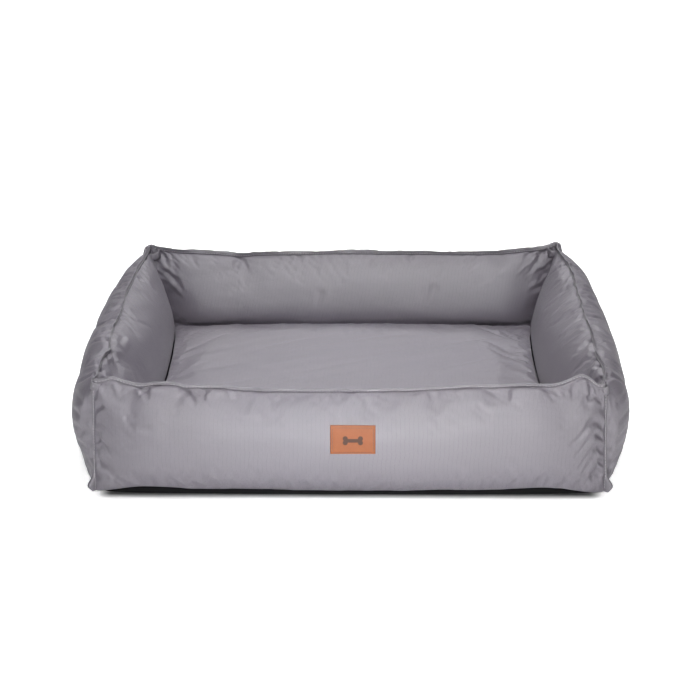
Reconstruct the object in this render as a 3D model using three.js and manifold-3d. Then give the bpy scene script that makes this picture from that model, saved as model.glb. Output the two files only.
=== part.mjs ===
// Pet cushion bed: four fibre-filled bolster walls sewn to a non-slip base, and a loose mattress
// that lifts out of the well between them. Zips let the fillings out for washing.
// Millimetres, +Z up, front wall towards -Y. The origin is the middle of the underside.
import * as THREE from 'three';
import { mergeVertices } from 'three/addons/utils/BufferGeometryUtils.js';
import Module from 'manifold-3d';

const wasm = await Module();
wasm.setup();

// Driving dimensions
const RIDGE_HALF_LENGTH = 375; // from the middle of the bed to the ridge of an end wall
const RIDGE_HALF_WIDTH = 280; // from the middle of the bed to the ridge of the front or back wall
const RIDGE_HEIGHT = { front: 156, back: 161, end: 172 }; // sewn top edge, mid-wall
const CORNER_HEIGHT = 180; // the ridges are pulled up towards the corners
const RIDGE_FIN = { thickness: 3, height: 6, gap: 1 };
const FABRIC = 1; // ripstop with its backing
const SECTION_HEIGHT = 158; // the wall sections are drawn to this height
const FOOT_OUT = 20; // the walls lean in: their outer foot stands this far outside the ridge
const FOOT_IN = -34; // and their inner foot this far inside
const FOOT_HEIGHT = 2.4;
const INNER_UPRIGHT = 34; // height of the upright strip that holds the zip
const MITRE_GAP = 0.5; // walls stop short of the 45 degree corner plane
const BASE = { thickness: 1.6, cornerRadius: 12 };
const CORNER_SEAM = { width: 2.5, depth: 6, gap: 1.2, bottom: 3, top: 177 };
const STATIONS = 10; // cross-sections along a wall
const OUTER_ROWS = 7;
const INNER_ROWS = 8;
const INSERT = { inset: 5, steps: 7, lowest: 0.04, highest: 0.94, hip: 0.42, foot: -14, end: 0.96 };
const LABEL = { width: 65, bottom: 86, top: 126.5, middle: 5.3, thickness: 1.6, gap: 0.3 };
const LABEL_THREAD = { inset: 3, width: 1, thickness: 0.5 };
const MATTRESS = { halfLength: 318, halfWidth: 226.5, corner: 30, bottom: 2, top: 57.4 };
const FOAM_TOP = 43; // the foam core ends here and the fibre topper begins
const FILLING_INSET = 2.3; // fillings stay clear of the mattress cover
const CLEAR = 0.4; // between pieces that touch
const CUT_REACH = 12; // a window is cut this far to both sides of the fabric
const WALL_ZIP = { length: 520, height: 18 };
const MATTRESS_ZIP = { length: 380, height: 22 };
const ZIP_TAPE = { thickness: 0.8, below: 16, above: 14 };
const ZIP_COIL = { height: 5, depth: 2.4 };
const ZIP_GAP = 0.3;
const SLIDER = { length: 12, height: 10, back: 0.7, channel: 1.5, front: 2.6 };
const BRIDGE = { length: 8, width: 2, leg: 1.4, top: 4.8, underside: 4.1 };
const PULLER = {
  pivot: 3.4, thickness: 0.8, length: 15, eye: 4.6, eyeWidth: 2.8, arm: 1, tab: 6, shoulder: 1.5, corner: 1.5,
};
const STOP = { length: 2.4, height: 6, depth: 1.2 };

const GREY = 0xa6a0a8;
const SHADED_GREY = 0x8b8790;
const BLACK = 0x1b1b1d;
const TAN = 0xe8a06c;
const THREAD = 0x5c3c28;
const WHITE = 0xf1f0ec;
const FOAM = 0xece2c2;
const ZIP_GREY = 0x76727a;
const METAL = 0xb4b4b8;

// The end walls are stuffed fuller and higher than the long ones
const LONG_WALL = {
  alongX: true,
  half: RIDGE_HALF_LENGTH,
  offset: RIDGE_HALF_WIDTH,
  outer: outerFace([58, 30], [66, 127]),
};
const END_WALL = {
  alongX: false,
  half: RIDGE_HALF_WIDTH,
  offset: RIDGE_HALF_LENGTH,
  outer: outerFace([57, 26], [86, 134]),
};
const WALLS = {
  front: { ...LONG_WALL, sign: -1, ridge: RIDGE_HEIGHT.front },
  back: { ...LONG_WALL, sign: 1, ridge: RIDGE_HEIGHT.back },
  left: { ...END_WALL, sign: -1, ridge: RIDGE_HEIGHT.end },
  right: { ...END_WALL, sign: 1, ridge: RIDGE_HEIGHT.end },
};

function part(name, geometry, color, roughness = 0.85, metalness = 0) {
  const material = new THREE.MeshStandardMaterial({ color, roughness, metalness });
  const mesh = new THREE.Mesh(geometry, material);
  mesh.name = name;
  return mesh;
}

function signedVolume(geometry) {
  const corners = ['a', 'b', 'c'].map(() => new THREE.Vector3());
  let sum = 0;
  for (let i = 0; i < geometry.index.count; i += 3) {
    corners.forEach((corner, k) => {
      corner.fromBufferAttribute(geometry.attributes.position, geometry.index.getX(i + k));
    });
    sum += corners[0].dot(corners[1].cross(corners[2]));
  }
  return sum / 6;
}

// Turns every face round where a bend has mirrored the body
function faceOutward(geometry) {
  if (signedVolume(geometry) < 0) {
    geometry.index.array.reverse();
  }
  geometry.computeVertexNormals();
  return geometry;
}

function weld(geometry) {
  const bare = geometry.clone();
  bare.deleteAttribute('normal');
  bare.deleteAttribute('uv');
  return mergeVertices(bare, 1e-4);
}

// Moves every vertex of a body to place(x, y, z)
function bend(geometry, place) {
  const bent = weld(geometry);
  const position = bent.attributes.position;
  for (let i = 0; i < position.count; i += 1) {
    const target = place(position.getX(i), position.getY(i), position.getZ(i));
    position.setXYZ(i, target.x, target.y, target.z);
  }
  return faceOutward(bent);
}

function toSolid(geometry) {
  const welded = weld(geometry);
  return new wasm.Manifold(new wasm.Mesh({
    numProp: 3,
    vertProperties: new Float32Array(welded.attributes.position.array),
    triVerts: new Uint32Array(welded.index.array),
  }));
}

function fromSolid(solid) {
  const mesh = solid.getMesh();
  const geometry = new THREE.BufferGeometry();
  geometry.setAttribute('position', new THREE.BufferAttribute(mesh.vertProperties, 3));
  geometry.setIndex(new THREE.BufferAttribute(mesh.triVerts, 1));
  geometry.computeVertexNormals();
  return geometry;
}

// A box between two values on each axis
function block(x, y, z) {
  const geometry = new THREE.BoxGeometry(x[1] - x[0], y[1] - y[0], z[1] - z[0]);
  return geometry.translate((x[0] + x[1]) / 2, (y[0] + y[1]) / 2, (z[0] + z[1]) / 2);
}

function roundedRectangle(halfX, halfY, radius, PathType = THREE.Shape) {
  const path = new PathType();
  path.absarc(halfX - radius, halfY - radius, radius, 0, Math.PI / 2);
  path.absarc(radius - halfX, halfY - radius, radius, Math.PI / 2, Math.PI);
  path.absarc(radius - halfX, radius - halfY, radius, Math.PI, Math.PI * 1.5);
  path.absarc(halfX - radius, radius - halfY, radius, Math.PI * 1.5, Math.PI * 2);
  return path;
}

function plate(shape, bottom, top) {
  const options = { depth: top - bottom, bevelEnabled: false, curveSegments: 6 };
  return new THREE.ExtrudeGeometry(shape, options).translate(0, 0, bottom);
}

// The walls. A place on a wall is (s, w, z): s runs from -1 to 1 between its two corners,
// w is the distance outward from the ridge line, and z is the height.
function onWall(wall, s, w, z) {
  const along = s * (wall.half + w - MITRE_GAP);
  const across = wall.sign * (wall.offset + w);
  return wall.alongX ? new THREE.Vector3(along, across, z) : new THREE.Vector3(across, along, z);
}

function ridgeHeight(wall, s) {
  return wall.ridge + (CORNER_HEIGHT - wall.ridge) * Math.abs(s) ** 2.5;
}

// How much of its full bulge a wall has at s: none at the sewn corners
function fullness(s) {
  return 1 - s ** 4;
}

function bezier(...points) {
  return new THREE.CubicBezierCurve(...points.map(([w, z]) => new THREE.Vector2(w, z)));
}

// Both faces of a wall are drawn in section before they are fitted to its ridge
function outerFace(belly, shoulder) {
  return { curve: bezier([FOOT_OUT, FOOT_HEIGHT], belly, shoulder, [FABRIC, SECTION_HEIGHT]), foot: FOOT_OUT };
}

function innerCurve() {
  const path = new THREE.CurvePath();
  const hip = new THREE.Vector2(FOOT_IN, INNER_UPRIGHT);
  path.add(new THREE.LineCurve(new THREE.Vector2(FOOT_IN, FOOT_HEIGHT), hip));
  path.add(bezier([FOOT_IN, INNER_UPRIGHT], [-70, 66], [-40, 138], [-FABRIC, SECTION_HEIGHT]));
  return path;
}

const INNER = { curve: innerCurve(), foot: FOOT_IN };

// Fits a point of a section to the wall's ridge, and draws it back to the straight corner seam
// as s nears a corner
function settle(wall, point, foot, s) {
  const height = point.y / SECTION_HEIGHT;
  const straight = foot * (1 - height) + Math.sign(foot) * FABRIC * height;
  const w = straight + (point.x - straight) * fullness(s);
  return new THREE.Vector2(w, point.y + (ridgeHeight(wall, s) - SECTION_HEIGHT) * height ** 2);
}

// A point of a wall's face: u runs from its foot to its ridge, and n is the distance off the face
function onFace(wall, face, u, s, n) {
  const step = 0.01;
  const at = (t) => settle(wall, face.curve.getPointAt(t), face.foot, s);
  const tangent = at(Math.min(u + step, 1)).sub(at(Math.max(u - step, 0))).normalize();
  const point = at(u);
  return onWall(wall, s, point.x + tangent.y * n, point.y - tangent.x * n);
}

// Closed sheet of fabric over a whole wall face. Its two skins share their diagonals, which keeps
// them the same distance apart where the face twists.
function facePanel(wall, face, rows) {
  const points = [];
  for (const n of [FABRIC / 2, -FABRIC / 2]) {
    for (let i = 0; i <= rows; i += 1) {
      for (let j = 0; j <= STATIONS; j += 1) {
        points.push(onFace(wall, face, i / rows, 2 * j / STATIONS - 1, n));
      }
    }
  }
  const stride = STATIONS + 1;
  const behind = points.length / 2;
  const faces = [];
  const rim = [];
  for (let i = 0; i < rows; i += 1) {
    for (let j = 0; j < STATIONS; j += 1) {
      const a = i * stride + j;
      const [b, c, d] = [a + 1, a + stride + 1, a + stride];
      faces.push(a, b, c, a, c, d);
      faces.push(...[a, c, b, a, d, c].map((corner) => corner + behind));
    }
  }
  for (let j = 0; j < STATIONS; j += 1) {
    rim.push([j, j + 1], [behind - 1 - j, behind - 2 - j]);
  }
  for (let i = 0; i < rows; i += 1) {
    rim.push([(i + 1) * stride, i * stride], [i * stride + STATIONS, (i + 1) * stride + STATIONS]);
  }
  for (const [a, b] of rim) {
    faces.push(b, a, a + behind, b, a + behind, b + behind);
  }
  const geometry = new THREE.BufferGeometry().setFromPoints(points);
  geometry.setIndex(faces);
  return faceOutward(geometry);
}

// The fabric above a wall zip and past its ends
function zippedPanel(wall) {
  const side = wall.sign * (wall.offset + FOOT_IN);
  const half = WALL_ZIP.length / 2 + CLEAR;
  const top = WALL_ZIP.height + ZIP_TAPE.above + CLEAR;
  const window = block([-half, half], [side - CUT_REACH, side + CUT_REACH], [-1, top]);
  return fromSolid(toSolid(facePanel(wall, INNER, INNER_ROWS)).subtract(toSolid(window)));
}

// Skins a body over closed sections that all have the same number of points
function loft(sections) {
  const count = sections[0].length;
  const faces = [];
  for (let row = 0; row < sections.length - 1; row += 1) {
    for (let i = 0; i < count; i += 1) {
      const [a, b] = [row * count + i, row * count + (i + 1) % count];
      faces.push(a, b, b + count, a, b + count, a + count);
    }
  }
  const last = (sections.length - 1) * count;
  for (let i = 1; i < count - 1; i += 1) {
    faces.push(0, i + 1, i, last, last + i, last + i + 1);
  }
  const geometry = new THREE.BufferGeometry().setFromPoints(sections.flat());
  geometry.setIndex(faces);
  return faceOutward(geometry);
}

// Outline of the fibre filling at s: it follows both faces, and its foot stays behind the zip
function insertSection(wall, s) {
  const { inset, steps, lowest, highest, hip, foot } = INSERT;
  const range = (from, to) => Array.from({ length: steps }, (_, i) => from + (to - from) * i / (steps - 1));
  const outside = range(lowest, highest).map((u) => onFace(wall, wall.outer, u, s, -inset));
  const inside = range(highest, hip).map((u) => onFace(wall, INNER, u, s, inset));
  const points = [...outside, ...inside, onWall(wall, s, foot, FOOT_HEIGHT + CLEAR)];
  points.forEach((point) => point.setZ(Math.min(point.z, wall.ridge - 2 * inset)));
  return points;
}

// Convex pillow of fibre that ends short of the corners
function bolsterInsert(wall) {
  const sections = [];
  for (let i = 0; i <= STATIONS; i += 1) {
    sections.push(insertSection(wall, INSERT.end * (2 * i / STATIONS - 1)));
  }
  return loft(sections);
}

function ridgeSeam(wall) {
  const geometry = new THREE.BoxGeometry(RIDGE_FIN.thickness, 2, RIDGE_FIN.height, 1, STATIONS, 1);
  const lift = RIDGE_FIN.gap + RIDGE_FIN.height / 2;
  return bend(geometry, (w, s, z) => onWall(wall, s, w, ridgeHeight(wall, s) + lift + z));
}

function wallParts(name, wall) {
  const zipped = wall.alongX;
  return [
    part(`${name}_outer_panel`, facePanel(wall, wall.outer, OUTER_ROWS), GREY),
    part(`${name}_inner_panel`, zipped ? zippedPanel(wall) : facePanel(wall, INNER, INNER_ROWS), SHADED_GREY),
    part(`${name}_bolster_insert`, bolsterInsert(wall), WHITE, 0.95),
    part(`${name}_ridge_seam`, ridgeSeam(wall), GREY),
  ];
}

// Folded seam down the outside of a corner
function cornerSeam(signX, signY) {
  const outward = new THREE.Vector3(signX, signY, 0).normalize();
  const sideways = new THREE.Vector3(-outward.y, outward.x, 0);
  const start = CORNER_SEAM.gap + CORNER_SEAM.depth / 2;
  const geometry = new THREE.BoxGeometry(CORNER_SEAM.width, CORNER_SEAM.depth, 1);
  return bend(geometry, (across, depth, t) => {
    const z = THREE.MathUtils.lerp(CORNER_SEAM.bottom, CORNER_SEAM.top, t + 0.5);
    const lean = FOOT_OUT * (1 - z / CORNER_HEIGHT);
    const x = signX * (RIDGE_HALF_LENGTH + FABRIC + lean);
    const y = signY * (RIDGE_HALF_WIDTH + FABRIC + lean);
    const point = new THREE.Vector3(x, y, z);
    return point.addScaledVector(outward, start + depth).addScaledVector(sideways, across);
  });
}

function baseSheet() {
  const halfX = RIDGE_HALF_LENGTH + FOOT_OUT;
  const halfY = RIDGE_HALF_WIDTH + FOOT_OUT;
  return plate(roundedRectangle(halfX, halfY, BASE.cornerRadius), 0, BASE.thickness);
}

// The label lies on the front wall. A height on that wall's outer curve is found by halving.
function outerParameterAt(height) {
  let [low, high] = [0, 1];
  while (high - low > 1e-5) {
    const middle = (low + high) / 2;
    if (settle(WALLS.front, WALLS.front.outer.curve.getPointAt(middle), FOOT_OUT, 0).y < height) {
      low = middle;
    } else {
      high = middle;
    }
  }
  return low;
}

// A slab that follows the front wall, smaller than the label by inset all round
function labelSlab(inset, bottom, top) {
  const width = LABEL.width - 2 * inset;
  const low = outerParameterAt(LABEL.bottom + inset);
  const high = outerParameterAt(LABEL.top - inset);
  const geometry = new THREE.BoxGeometry(1, width, top - bottom, 6, 2, 1);
  return bend(geometry, (u, x, n) => {
    const middle = (bottom + top) / 2;
    const parameter = THREE.MathUtils.lerp(low, high, u + 0.5);
    const point = onFace(WALLS.front, WALLS.front.outer, parameter, 0, n + middle);
    point.x = x + LABEL.middle;
    return point;
  });
}

function labelParts() {
  const back = FABRIC / 2 + LABEL.gap;
  const front = back + LABEL.thickness;
  const threadBack = front + ZIP_GAP;
  const threadFront = threadBack + LABEL_THREAD.thickness;
  const outline = labelSlab(LABEL_THREAD.inset, threadBack, threadFront);
  const inside = labelSlab(LABEL_THREAD.inset + LABEL_THREAD.width, back, threadFront + CUT_REACH);
  const thread = fromSolid(toSolid(outline).subtract(toSolid(inside)));
  return [
    part('label_patch', labelSlab(0, back, front), TAN, 0.6),
    part('label_stitching', thread, THREAD, 0.8),
  ];
}

// Zips. Each is made along X and faces -Y, with its tape in the XZ plane.
function zipCoil(length) {
  const { height, depth } = ZIP_COIL;
  const shape = roundedRectangle(depth / 2, height / 2, 1);
  const options = { depth: length, bevelEnabled: false, curveSegments: 2 };
  const geometry = new THREE.ExtrudeGeometry(shape, options).translate(0, 0, -length / 2);
  return bend(geometry, (x, y, z) => new THREE.Vector3(z, x, y));
}

function zipTape(length, bottom, top) {
  const half = ZIP_TAPE.thickness / 2;
  return block([-length / 2, length / 2], [-half, half], [bottom, top]);
}

// Front plate with side flanges, and the bridge that holds the puller
function zipSlider() {
  const halfLength = SLIDER.length / 2;
  const halfHeight = SLIDER.height / 2;
  const channel = ZIP_COIL.height / 2 + ZIP_GAP;
  const bridge = BRIDGE.length / 2;
  const opening = bridge - BRIDGE.leg;
  const seat = SLIDER.front - ZIP_GAP;
  const body = block([-halfLength, halfLength], [-SLIDER.front, -SLIDER.back], [-halfHeight, halfHeight]);
  const groove = block([-halfLength - 1, halfLength + 1], [-SLIDER.channel, 0], [-channel, channel]);
  const arch = block([-bridge, bridge], [-BRIDGE.top, -seat], [-BRIDGE.width / 2, BRIDGE.width / 2]);
  const eye = block([-opening, opening], [-BRIDGE.underside, -SLIDER.front], [-BRIDGE.width, BRIDGE.width]);
  return fromSolid(toSolid(body).subtract(toSolid(groove)).add(toSolid(arch).subtract(toSolid(eye))));
}

// Flat tab with an eye, its crossbar under the bridge, pointing to -X from the pivot
function zipPuller() {
  const bar = PULLER.thickness / 2;
  const eyeHalf = PULLER.eyeWidth / 2;
  const neck = eyeHalf + PULLER.arm;
  const tab = PULLER.tab / 2;
  const round = PULLER.corner;
  const eyeEnd = -PULLER.eye - PULLER.arm;
  const tabStart = eyeEnd - PULLER.shoulder;
  const shape = new THREE.Shape();
  shape.moveTo(bar, -neck);
  shape.lineTo(bar, neck);
  shape.lineTo(eyeEnd, neck);
  shape.lineTo(tabStart, tab);
  shape.absarc(round - PULLER.length, tab - round, round, Math.PI / 2, Math.PI);
  shape.absarc(round - PULLER.length, round - tab, round, Math.PI, Math.PI * 1.5);
  shape.lineTo(tabStart, -tab);
  shape.lineTo(eyeEnd, -neck);
  const eye = new THREE.Path();
  eye.moveTo(-bar, -eyeHalf);
  eye.lineTo(-PULLER.eye - bar, -eyeHalf);
  eye.lineTo(-PULLER.eye - bar, eyeHalf);
  eye.lineTo(-bar, eyeHalf);
  shape.holes.push(eye);
  const options = { depth: PULLER.thickness, bevelEnabled: false, curveSegments: 3 };
  const geometry = new THREE.ExtrudeGeometry(shape, options).translate(0, 0, -bar);
  return bend(geometry, (x, y, z) => new THREE.Vector3(x, z - PULLER.pivot, y));
}

function zipStop() {
  const back = SLIDER.channel;
  const half = STOP.length / 2;
  return block([-half, half], [-back - STOP.depth, -back], [-STOP.height / 2, STOP.height / 2]);
}

// A closed zip: its slider rests against the stop at the +X end
function zip(name, length) {
  const coilEdge = ZIP_COIL.height / 2 + ZIP_GAP;
  const stopPlace = length / 2 - STOP.length / 2;
  const sliderPlace = length / 2 - STOP.length - CLEAR - SLIDER.length / 2;
  const startStop = part(`${name}_start_stop`, zipStop(), METAL, 0.4, 0.8);
  const endStop = part(`${name}_end_stop`, zipStop(), METAL, 0.4, 0.8);
  const slider = part(`${name}_slider`, zipSlider(), METAL, 0.35, 0.9);
  const puller = part(`${name}_puller`, zipPuller(), METAL, 0.35, 0.9);
  startStop.position.x = -stopPlace;
  endStop.position.x = stopPlace;
  slider.position.x = sliderPlace;
  puller.position.x = sliderPlace;
  const group = new THREE.Group();
  group.add(
    part(`${name}_tape_lower`, zipTape(length, -ZIP_TAPE.below, -coilEdge), ZIP_GREY),
    part(`${name}_tape_upper`, zipTape(length, coilEdge, ZIP_TAPE.above), ZIP_GREY),
    part(`${name}_coil`, zipCoil(length), ZIP_GREY, 0.5),
    startStop,
    endStop,
    slider,
    puller,
  );
  return group;
}

function wallZip(name, wall) {
  const group = zip(`${name}_zip`, WALL_ZIP.length);
  group.position.set(0, wall.sign * (wall.offset + FOOT_IN), WALL_ZIP.height);
  group.rotation.z = wall.sign < 0 ? Math.PI : 0;
  return group;
}

function mattressZip() {
  const group = zip('mattress_zip', MATTRESS_ZIP.length);
  group.position.set(MATTRESS.halfLength - FABRIC / 2, 0, MATTRESS_ZIP.height);
  group.rotation.z = Math.PI / 2;
  return group;
}

function mattressOutline(inset, PathType) {
  const { halfLength, halfWidth, corner } = MATTRESS;
  return roundedRectangle(halfLength - inset, halfWidth - inset, corner - inset, PathType);
}

// Side strip of the mattress cover, with a window for its zip
function mattressBoxing(bottom, top) {
  const ring = mattressOutline(0);
  ring.holes.push(mattressOutline(FABRIC, THREE.Path));
  const half = MATTRESS_ZIP.length / 2 + CLEAR;
  const low = MATTRESS_ZIP.height - ZIP_TAPE.below - CLEAR;
  const high = MATTRESS_ZIP.height + ZIP_TAPE.above + CLEAR;
  const side = MATTRESS.halfLength;
  const window = block([side - CUT_REACH, side + CUT_REACH], [-half, half], [low, high]);
  return fromSolid(toSolid(plate(ring, bottom, top)).subtract(toSolid(window)));
}

function mattressParts() {
  const underside = MATTRESS.bottom + FABRIC;
  const ceiling = MATTRESS.top - FABRIC;
  const filling = mattressOutline(FILLING_INSET);
  return [
    part('mattress_bottom_panel', plate(mattressOutline(0), MATTRESS.bottom, underside), GREY),
    part('mattress_boxing', mattressBoxing(underside + ZIP_GAP, ceiling - ZIP_GAP), GREY),
    part('mattress_top_panel', plate(mattressOutline(0), ceiling, MATTRESS.top), GREY),
    part('mattress_foam_core', plate(filling, underside + CLEAR, FOAM_TOP), FOAM, 0.9),
    part('mattress_fibre_topper', plate(filling, FOAM_TOP + CLEAR, ceiling - CLEAR), WHITE, 0.95),
    mattressZip(),
  ];
}

const petBed = new THREE.Group();
petBed.add(part('base_sheet', baseSheet(), BLACK, 0.9));
for (const [name, wall] of Object.entries(WALLS)) {
  petBed.add(...wallParts(name, wall));
}
for (const [name, signX] of [['left', -1], ['right', 1]]) {
  petBed.add(part(`front_${name}_corner_seam`, cornerSeam(signX, -1), GREY));
  petBed.add(part(`back_${name}_corner_seam`, cornerSeam(signX, 1), GREY));
}
petBed.add(...labelParts(), wallZip('front', WALLS.front), wallZip('back', WALLS.back));
petBed.add(...mattressParts());

export default petBed;
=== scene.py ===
import math

import bmesh
import bpy
import numpy as np
from mathutils import Matrix, Vector
from mathutils.bvhtree import BVHTree


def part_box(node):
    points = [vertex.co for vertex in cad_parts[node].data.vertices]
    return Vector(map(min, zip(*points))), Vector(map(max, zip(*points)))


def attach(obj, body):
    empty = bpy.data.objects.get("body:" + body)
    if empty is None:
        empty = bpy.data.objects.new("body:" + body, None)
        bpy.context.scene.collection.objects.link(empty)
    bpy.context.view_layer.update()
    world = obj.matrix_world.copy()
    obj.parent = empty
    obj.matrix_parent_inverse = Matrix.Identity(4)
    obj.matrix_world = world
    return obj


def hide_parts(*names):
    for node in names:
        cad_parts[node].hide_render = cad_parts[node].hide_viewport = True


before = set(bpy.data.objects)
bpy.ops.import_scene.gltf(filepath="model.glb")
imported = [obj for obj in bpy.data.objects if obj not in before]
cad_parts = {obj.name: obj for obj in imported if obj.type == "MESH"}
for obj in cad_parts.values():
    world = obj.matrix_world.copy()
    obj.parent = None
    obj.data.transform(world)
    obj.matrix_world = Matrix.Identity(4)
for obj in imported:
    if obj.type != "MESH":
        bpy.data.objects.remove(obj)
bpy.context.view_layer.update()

MM = 0.001

# ---------------------------------------------------------------- measures taken from the frame


def low(node):
    return np.array(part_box(node)[0], float)


def high(node):
    return np.array(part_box(node)[1], float)


def centre(node):
    return (low(node) + high(node)) / 2


FIN_GAP = 1 * MM  # the CAD fin starts this far above the sewn edge
FIN_HEIGHT = {"front": 6 * MM, "right": 8 * MM, "back": 8 * MM, "left": 8 * MM}
RIDGE_X = centre("right_ridge_seam")[0]
RIDGE_Y = centre("back_ridge_seam")[1]
CORNER_Z = high("front_ridge_seam")[2] - 7 * MM
FOOT_OUT = high("base_sheet")[0] - RIDGE_X
FOOT_IN = centre("back_zip_coil")[1] - RIDGE_Y
BASE_TOP = high("base_sheet")[2]
ZIP_TOP = high("back_zip_tape_upper")[2]
ZIP_END = high("back_zip_coil")[0]
ZIP_ROOM = 0.4 * MM  # between a zip and the panel it is set in
CLOTH = 0.9 * MM  # thickness of the ripstop
RIPSTOP = 6.4 * MM  # from one thick thread of its weave to the next

WALLS = ("front", "right", "back", "left")  # anticlockwise, seen from above
CELL = 8 * MM  # grid size of the cloth that is simulated
ROWS_OUT = 23
ROWS_IN = 24
ROWS_UNDER = 5

# How far each sewn corner stands above or below the height it was designed at
CORNER_RISE = {"front_left": -3 * MM, "front_right": -9 * MM, "back_right": -1 * MM, "back_left": -6 * MM}
# How far each is moved along the front and from front to back
CORNER_MOVE = {"front_left": (5 * MM, 0), "front_right": (-6 * MM, 0), "back_right": (0, 0),
               "back_left": (0, 0)}
CORNERS = tuple(CORNER_RISE)  # each is where the wall of the same place in WALLS starts

CORNER_TUCK = 0.45  # share of the foot's reach that the corners are drawn in by

# Humps and dips of the sewn ridges: place along the wall, rise, push outward and spread, in mm
RIDGE_HUMPS = {
    "front": [(-347, 9, 0, 16), (-305, -4, 0, 12), (-262, 4, 0, 26), (-238, -3, 0, 9), (-190, 4, 0, 30),
              (90, 2, 1, 30), (165, 5, 0, 40), (250, 6, 1, 40), (338, 20, 0, 26), (366, -7, 0, 9),
              (0, 6.5, 0, 330), (210, 3, 0, 90), (-260, 3, 0, 70)],
    "right": [(-229, 3, 1, 22), (-179, -3, -1, 20), (-60, 2, 4, 60), (60, 3, 6, 70), (160, 4, 8, 60)],
    "back": [(-309, 2, 0, 24), (-125, 1, 0, 60), (5, 2, 1, 70), (209, -5, 0, 24), (283, 1, 0, 20)],
    "left": [(-150, 2, 5, 60), (-50, 4, 5, 60), (75, 3, 3, 50), (152, -9, -3, 22), (219, -4, -1, 26)],
}
FOOT_BOW = {"front": 4 * MM, "right": 3 * MM, "back": 3 * MM, "left": 3 * MM}
BASE_SETBACK = {"front": 4 * MM, "right": 0, "back": 0, "left": 0}  # base edge behind the hem
RIDGE_POWER = {"front": 3, "right": 3, "back": 9, "left": 3}  # how close to the corners a ridge rises

# Hem lift: place along the wall as a share of its half, lift in mm and spread
HEM_LIFTS = {
    "front": [(-0.78, 13, 0.2), (-0.4, 9, 0.24), (0, 7, 0.28), (0.4, 8, 0.24), (0.74, 12, 0.18)],
    "right": [(-0.3, 3, 0.25), (0.4, 4, 0.2)],
    "back": [(-0.4, 5, 0.25), (0.5, 4, 0.2)],
    "left": [(0.1, 4, 0.4)],
}

# Creases of the cloth, in mm: where each starts and ends, both as a place along the wall and a distance from
# the ridge, then its width and depth
OUTER_CREASES = {
    "front": [
        (-305, 3, -296, 26, 6, 5), (-296, 2, -312, 20, 4, 2.5), (-242, 3, -228, 30, 6, 4.5),
        (-213, 2, -216, 26, 5, 4), (-228, 4, -205, 34, 4, 2.5), (-180, 2, -172, 22, 5, 2),
        (92, 2, 80, 24, 6, 2.2), (152, 2, 160, 22, 6, 2), (232, 2, 226, 26, 6, 2.4),
        (286, 2, 292, 24, 6, 2.2), (333, 3, 322, 24, 6, 2.4), (366, 4, 348, 22, 6, 5),
        (356, 3, 352, 24, 5, 4), (372, 14, 350, 36, 5, 4), (372, 60, 322, 92, 6, 3.4),
        (373, 80, 330, 112, 5, 3), (374, 100, 338, 134, 5, 3), (374, 122, 344, 150, 6, 3.4),
        (373, 140, 358, 166, 6, 4), (-374, 66, -350, 84, 4, 2), (-376, 92, -352, 118, 4, 2.4),
        (-378, 130, -352, 158, 4, 3), (-380, 118, -346, 160, 4, 2.6), (-372, 40, -350, 48, 5, 2),
        (368, 20, 330, 44, 6, 2.5)
    ],
    "left": [
        (248, 3, 232, 44, 7, 6), (205, 3, 196, 48, 7, 5), (160, 3, 165, 44, 8, 6), (120, 2, 112, 40, 6, 4),
        (80, 2, 86, 44, 6, 5), (40, 2, 34, 38, 6, 4), (-10, 2, -4, 40, 7, 4.5), (-62, 2, -70, 38, 6, 4),
        (-110, 2, -104, 44, 7, 4.5), (-160, 2, -168, 40, 6, 4), (-210, 2, -200, 38, 6, 3.6),
        (278, 44, 236, 56, 5, 1.6), (280, 68, 240, 78, 5, 1.8), (282, 92, 240, 100, 5, 1.8),
        (284, 118, 244, 124, 5, 1.8), (285, 140, 256, 146, 5, 1.6)
    ],
    "right": [
        (-250, 3, -236, 46, 7, 5.5), (-214, 3, -204, 48, 7, 5), (-170, 3, -176, 46, 7, 4.8),
        (-122, 2, -114, 40, 6, 4), (-74, 2, -80, 40, 6, 4), (-26, 2, -20, 38, 6, 3.6),
        (30, 2, 24, 40, 6, 4), (84, 2, 92, 40, 6, 3.8), (140, 2, 132, 38, 6, 3.6),
        (196, 2, 204, 38, 6, 3.8), (-280, 44, -236, 54, 5, 1.6), (-282, 72, -240, 80, 5, 1.6),
        (-284, 100, -242, 104, 5, 1.6), (-287, 140, -244, 134, 6, 4)
    ],
    "back": [
        (-300, 2, -290, 30, 6, 3), (-210, 2, -218, 30, 6, 2.6), (-90, 2, -82, 26, 6, 2.4),
        (40, 2, 34, 28, 6, 2.6), (180, 2, 188, 26, 6, 2.4), (300, 2, 292, 30, 6, 3)
    ],
}
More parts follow.
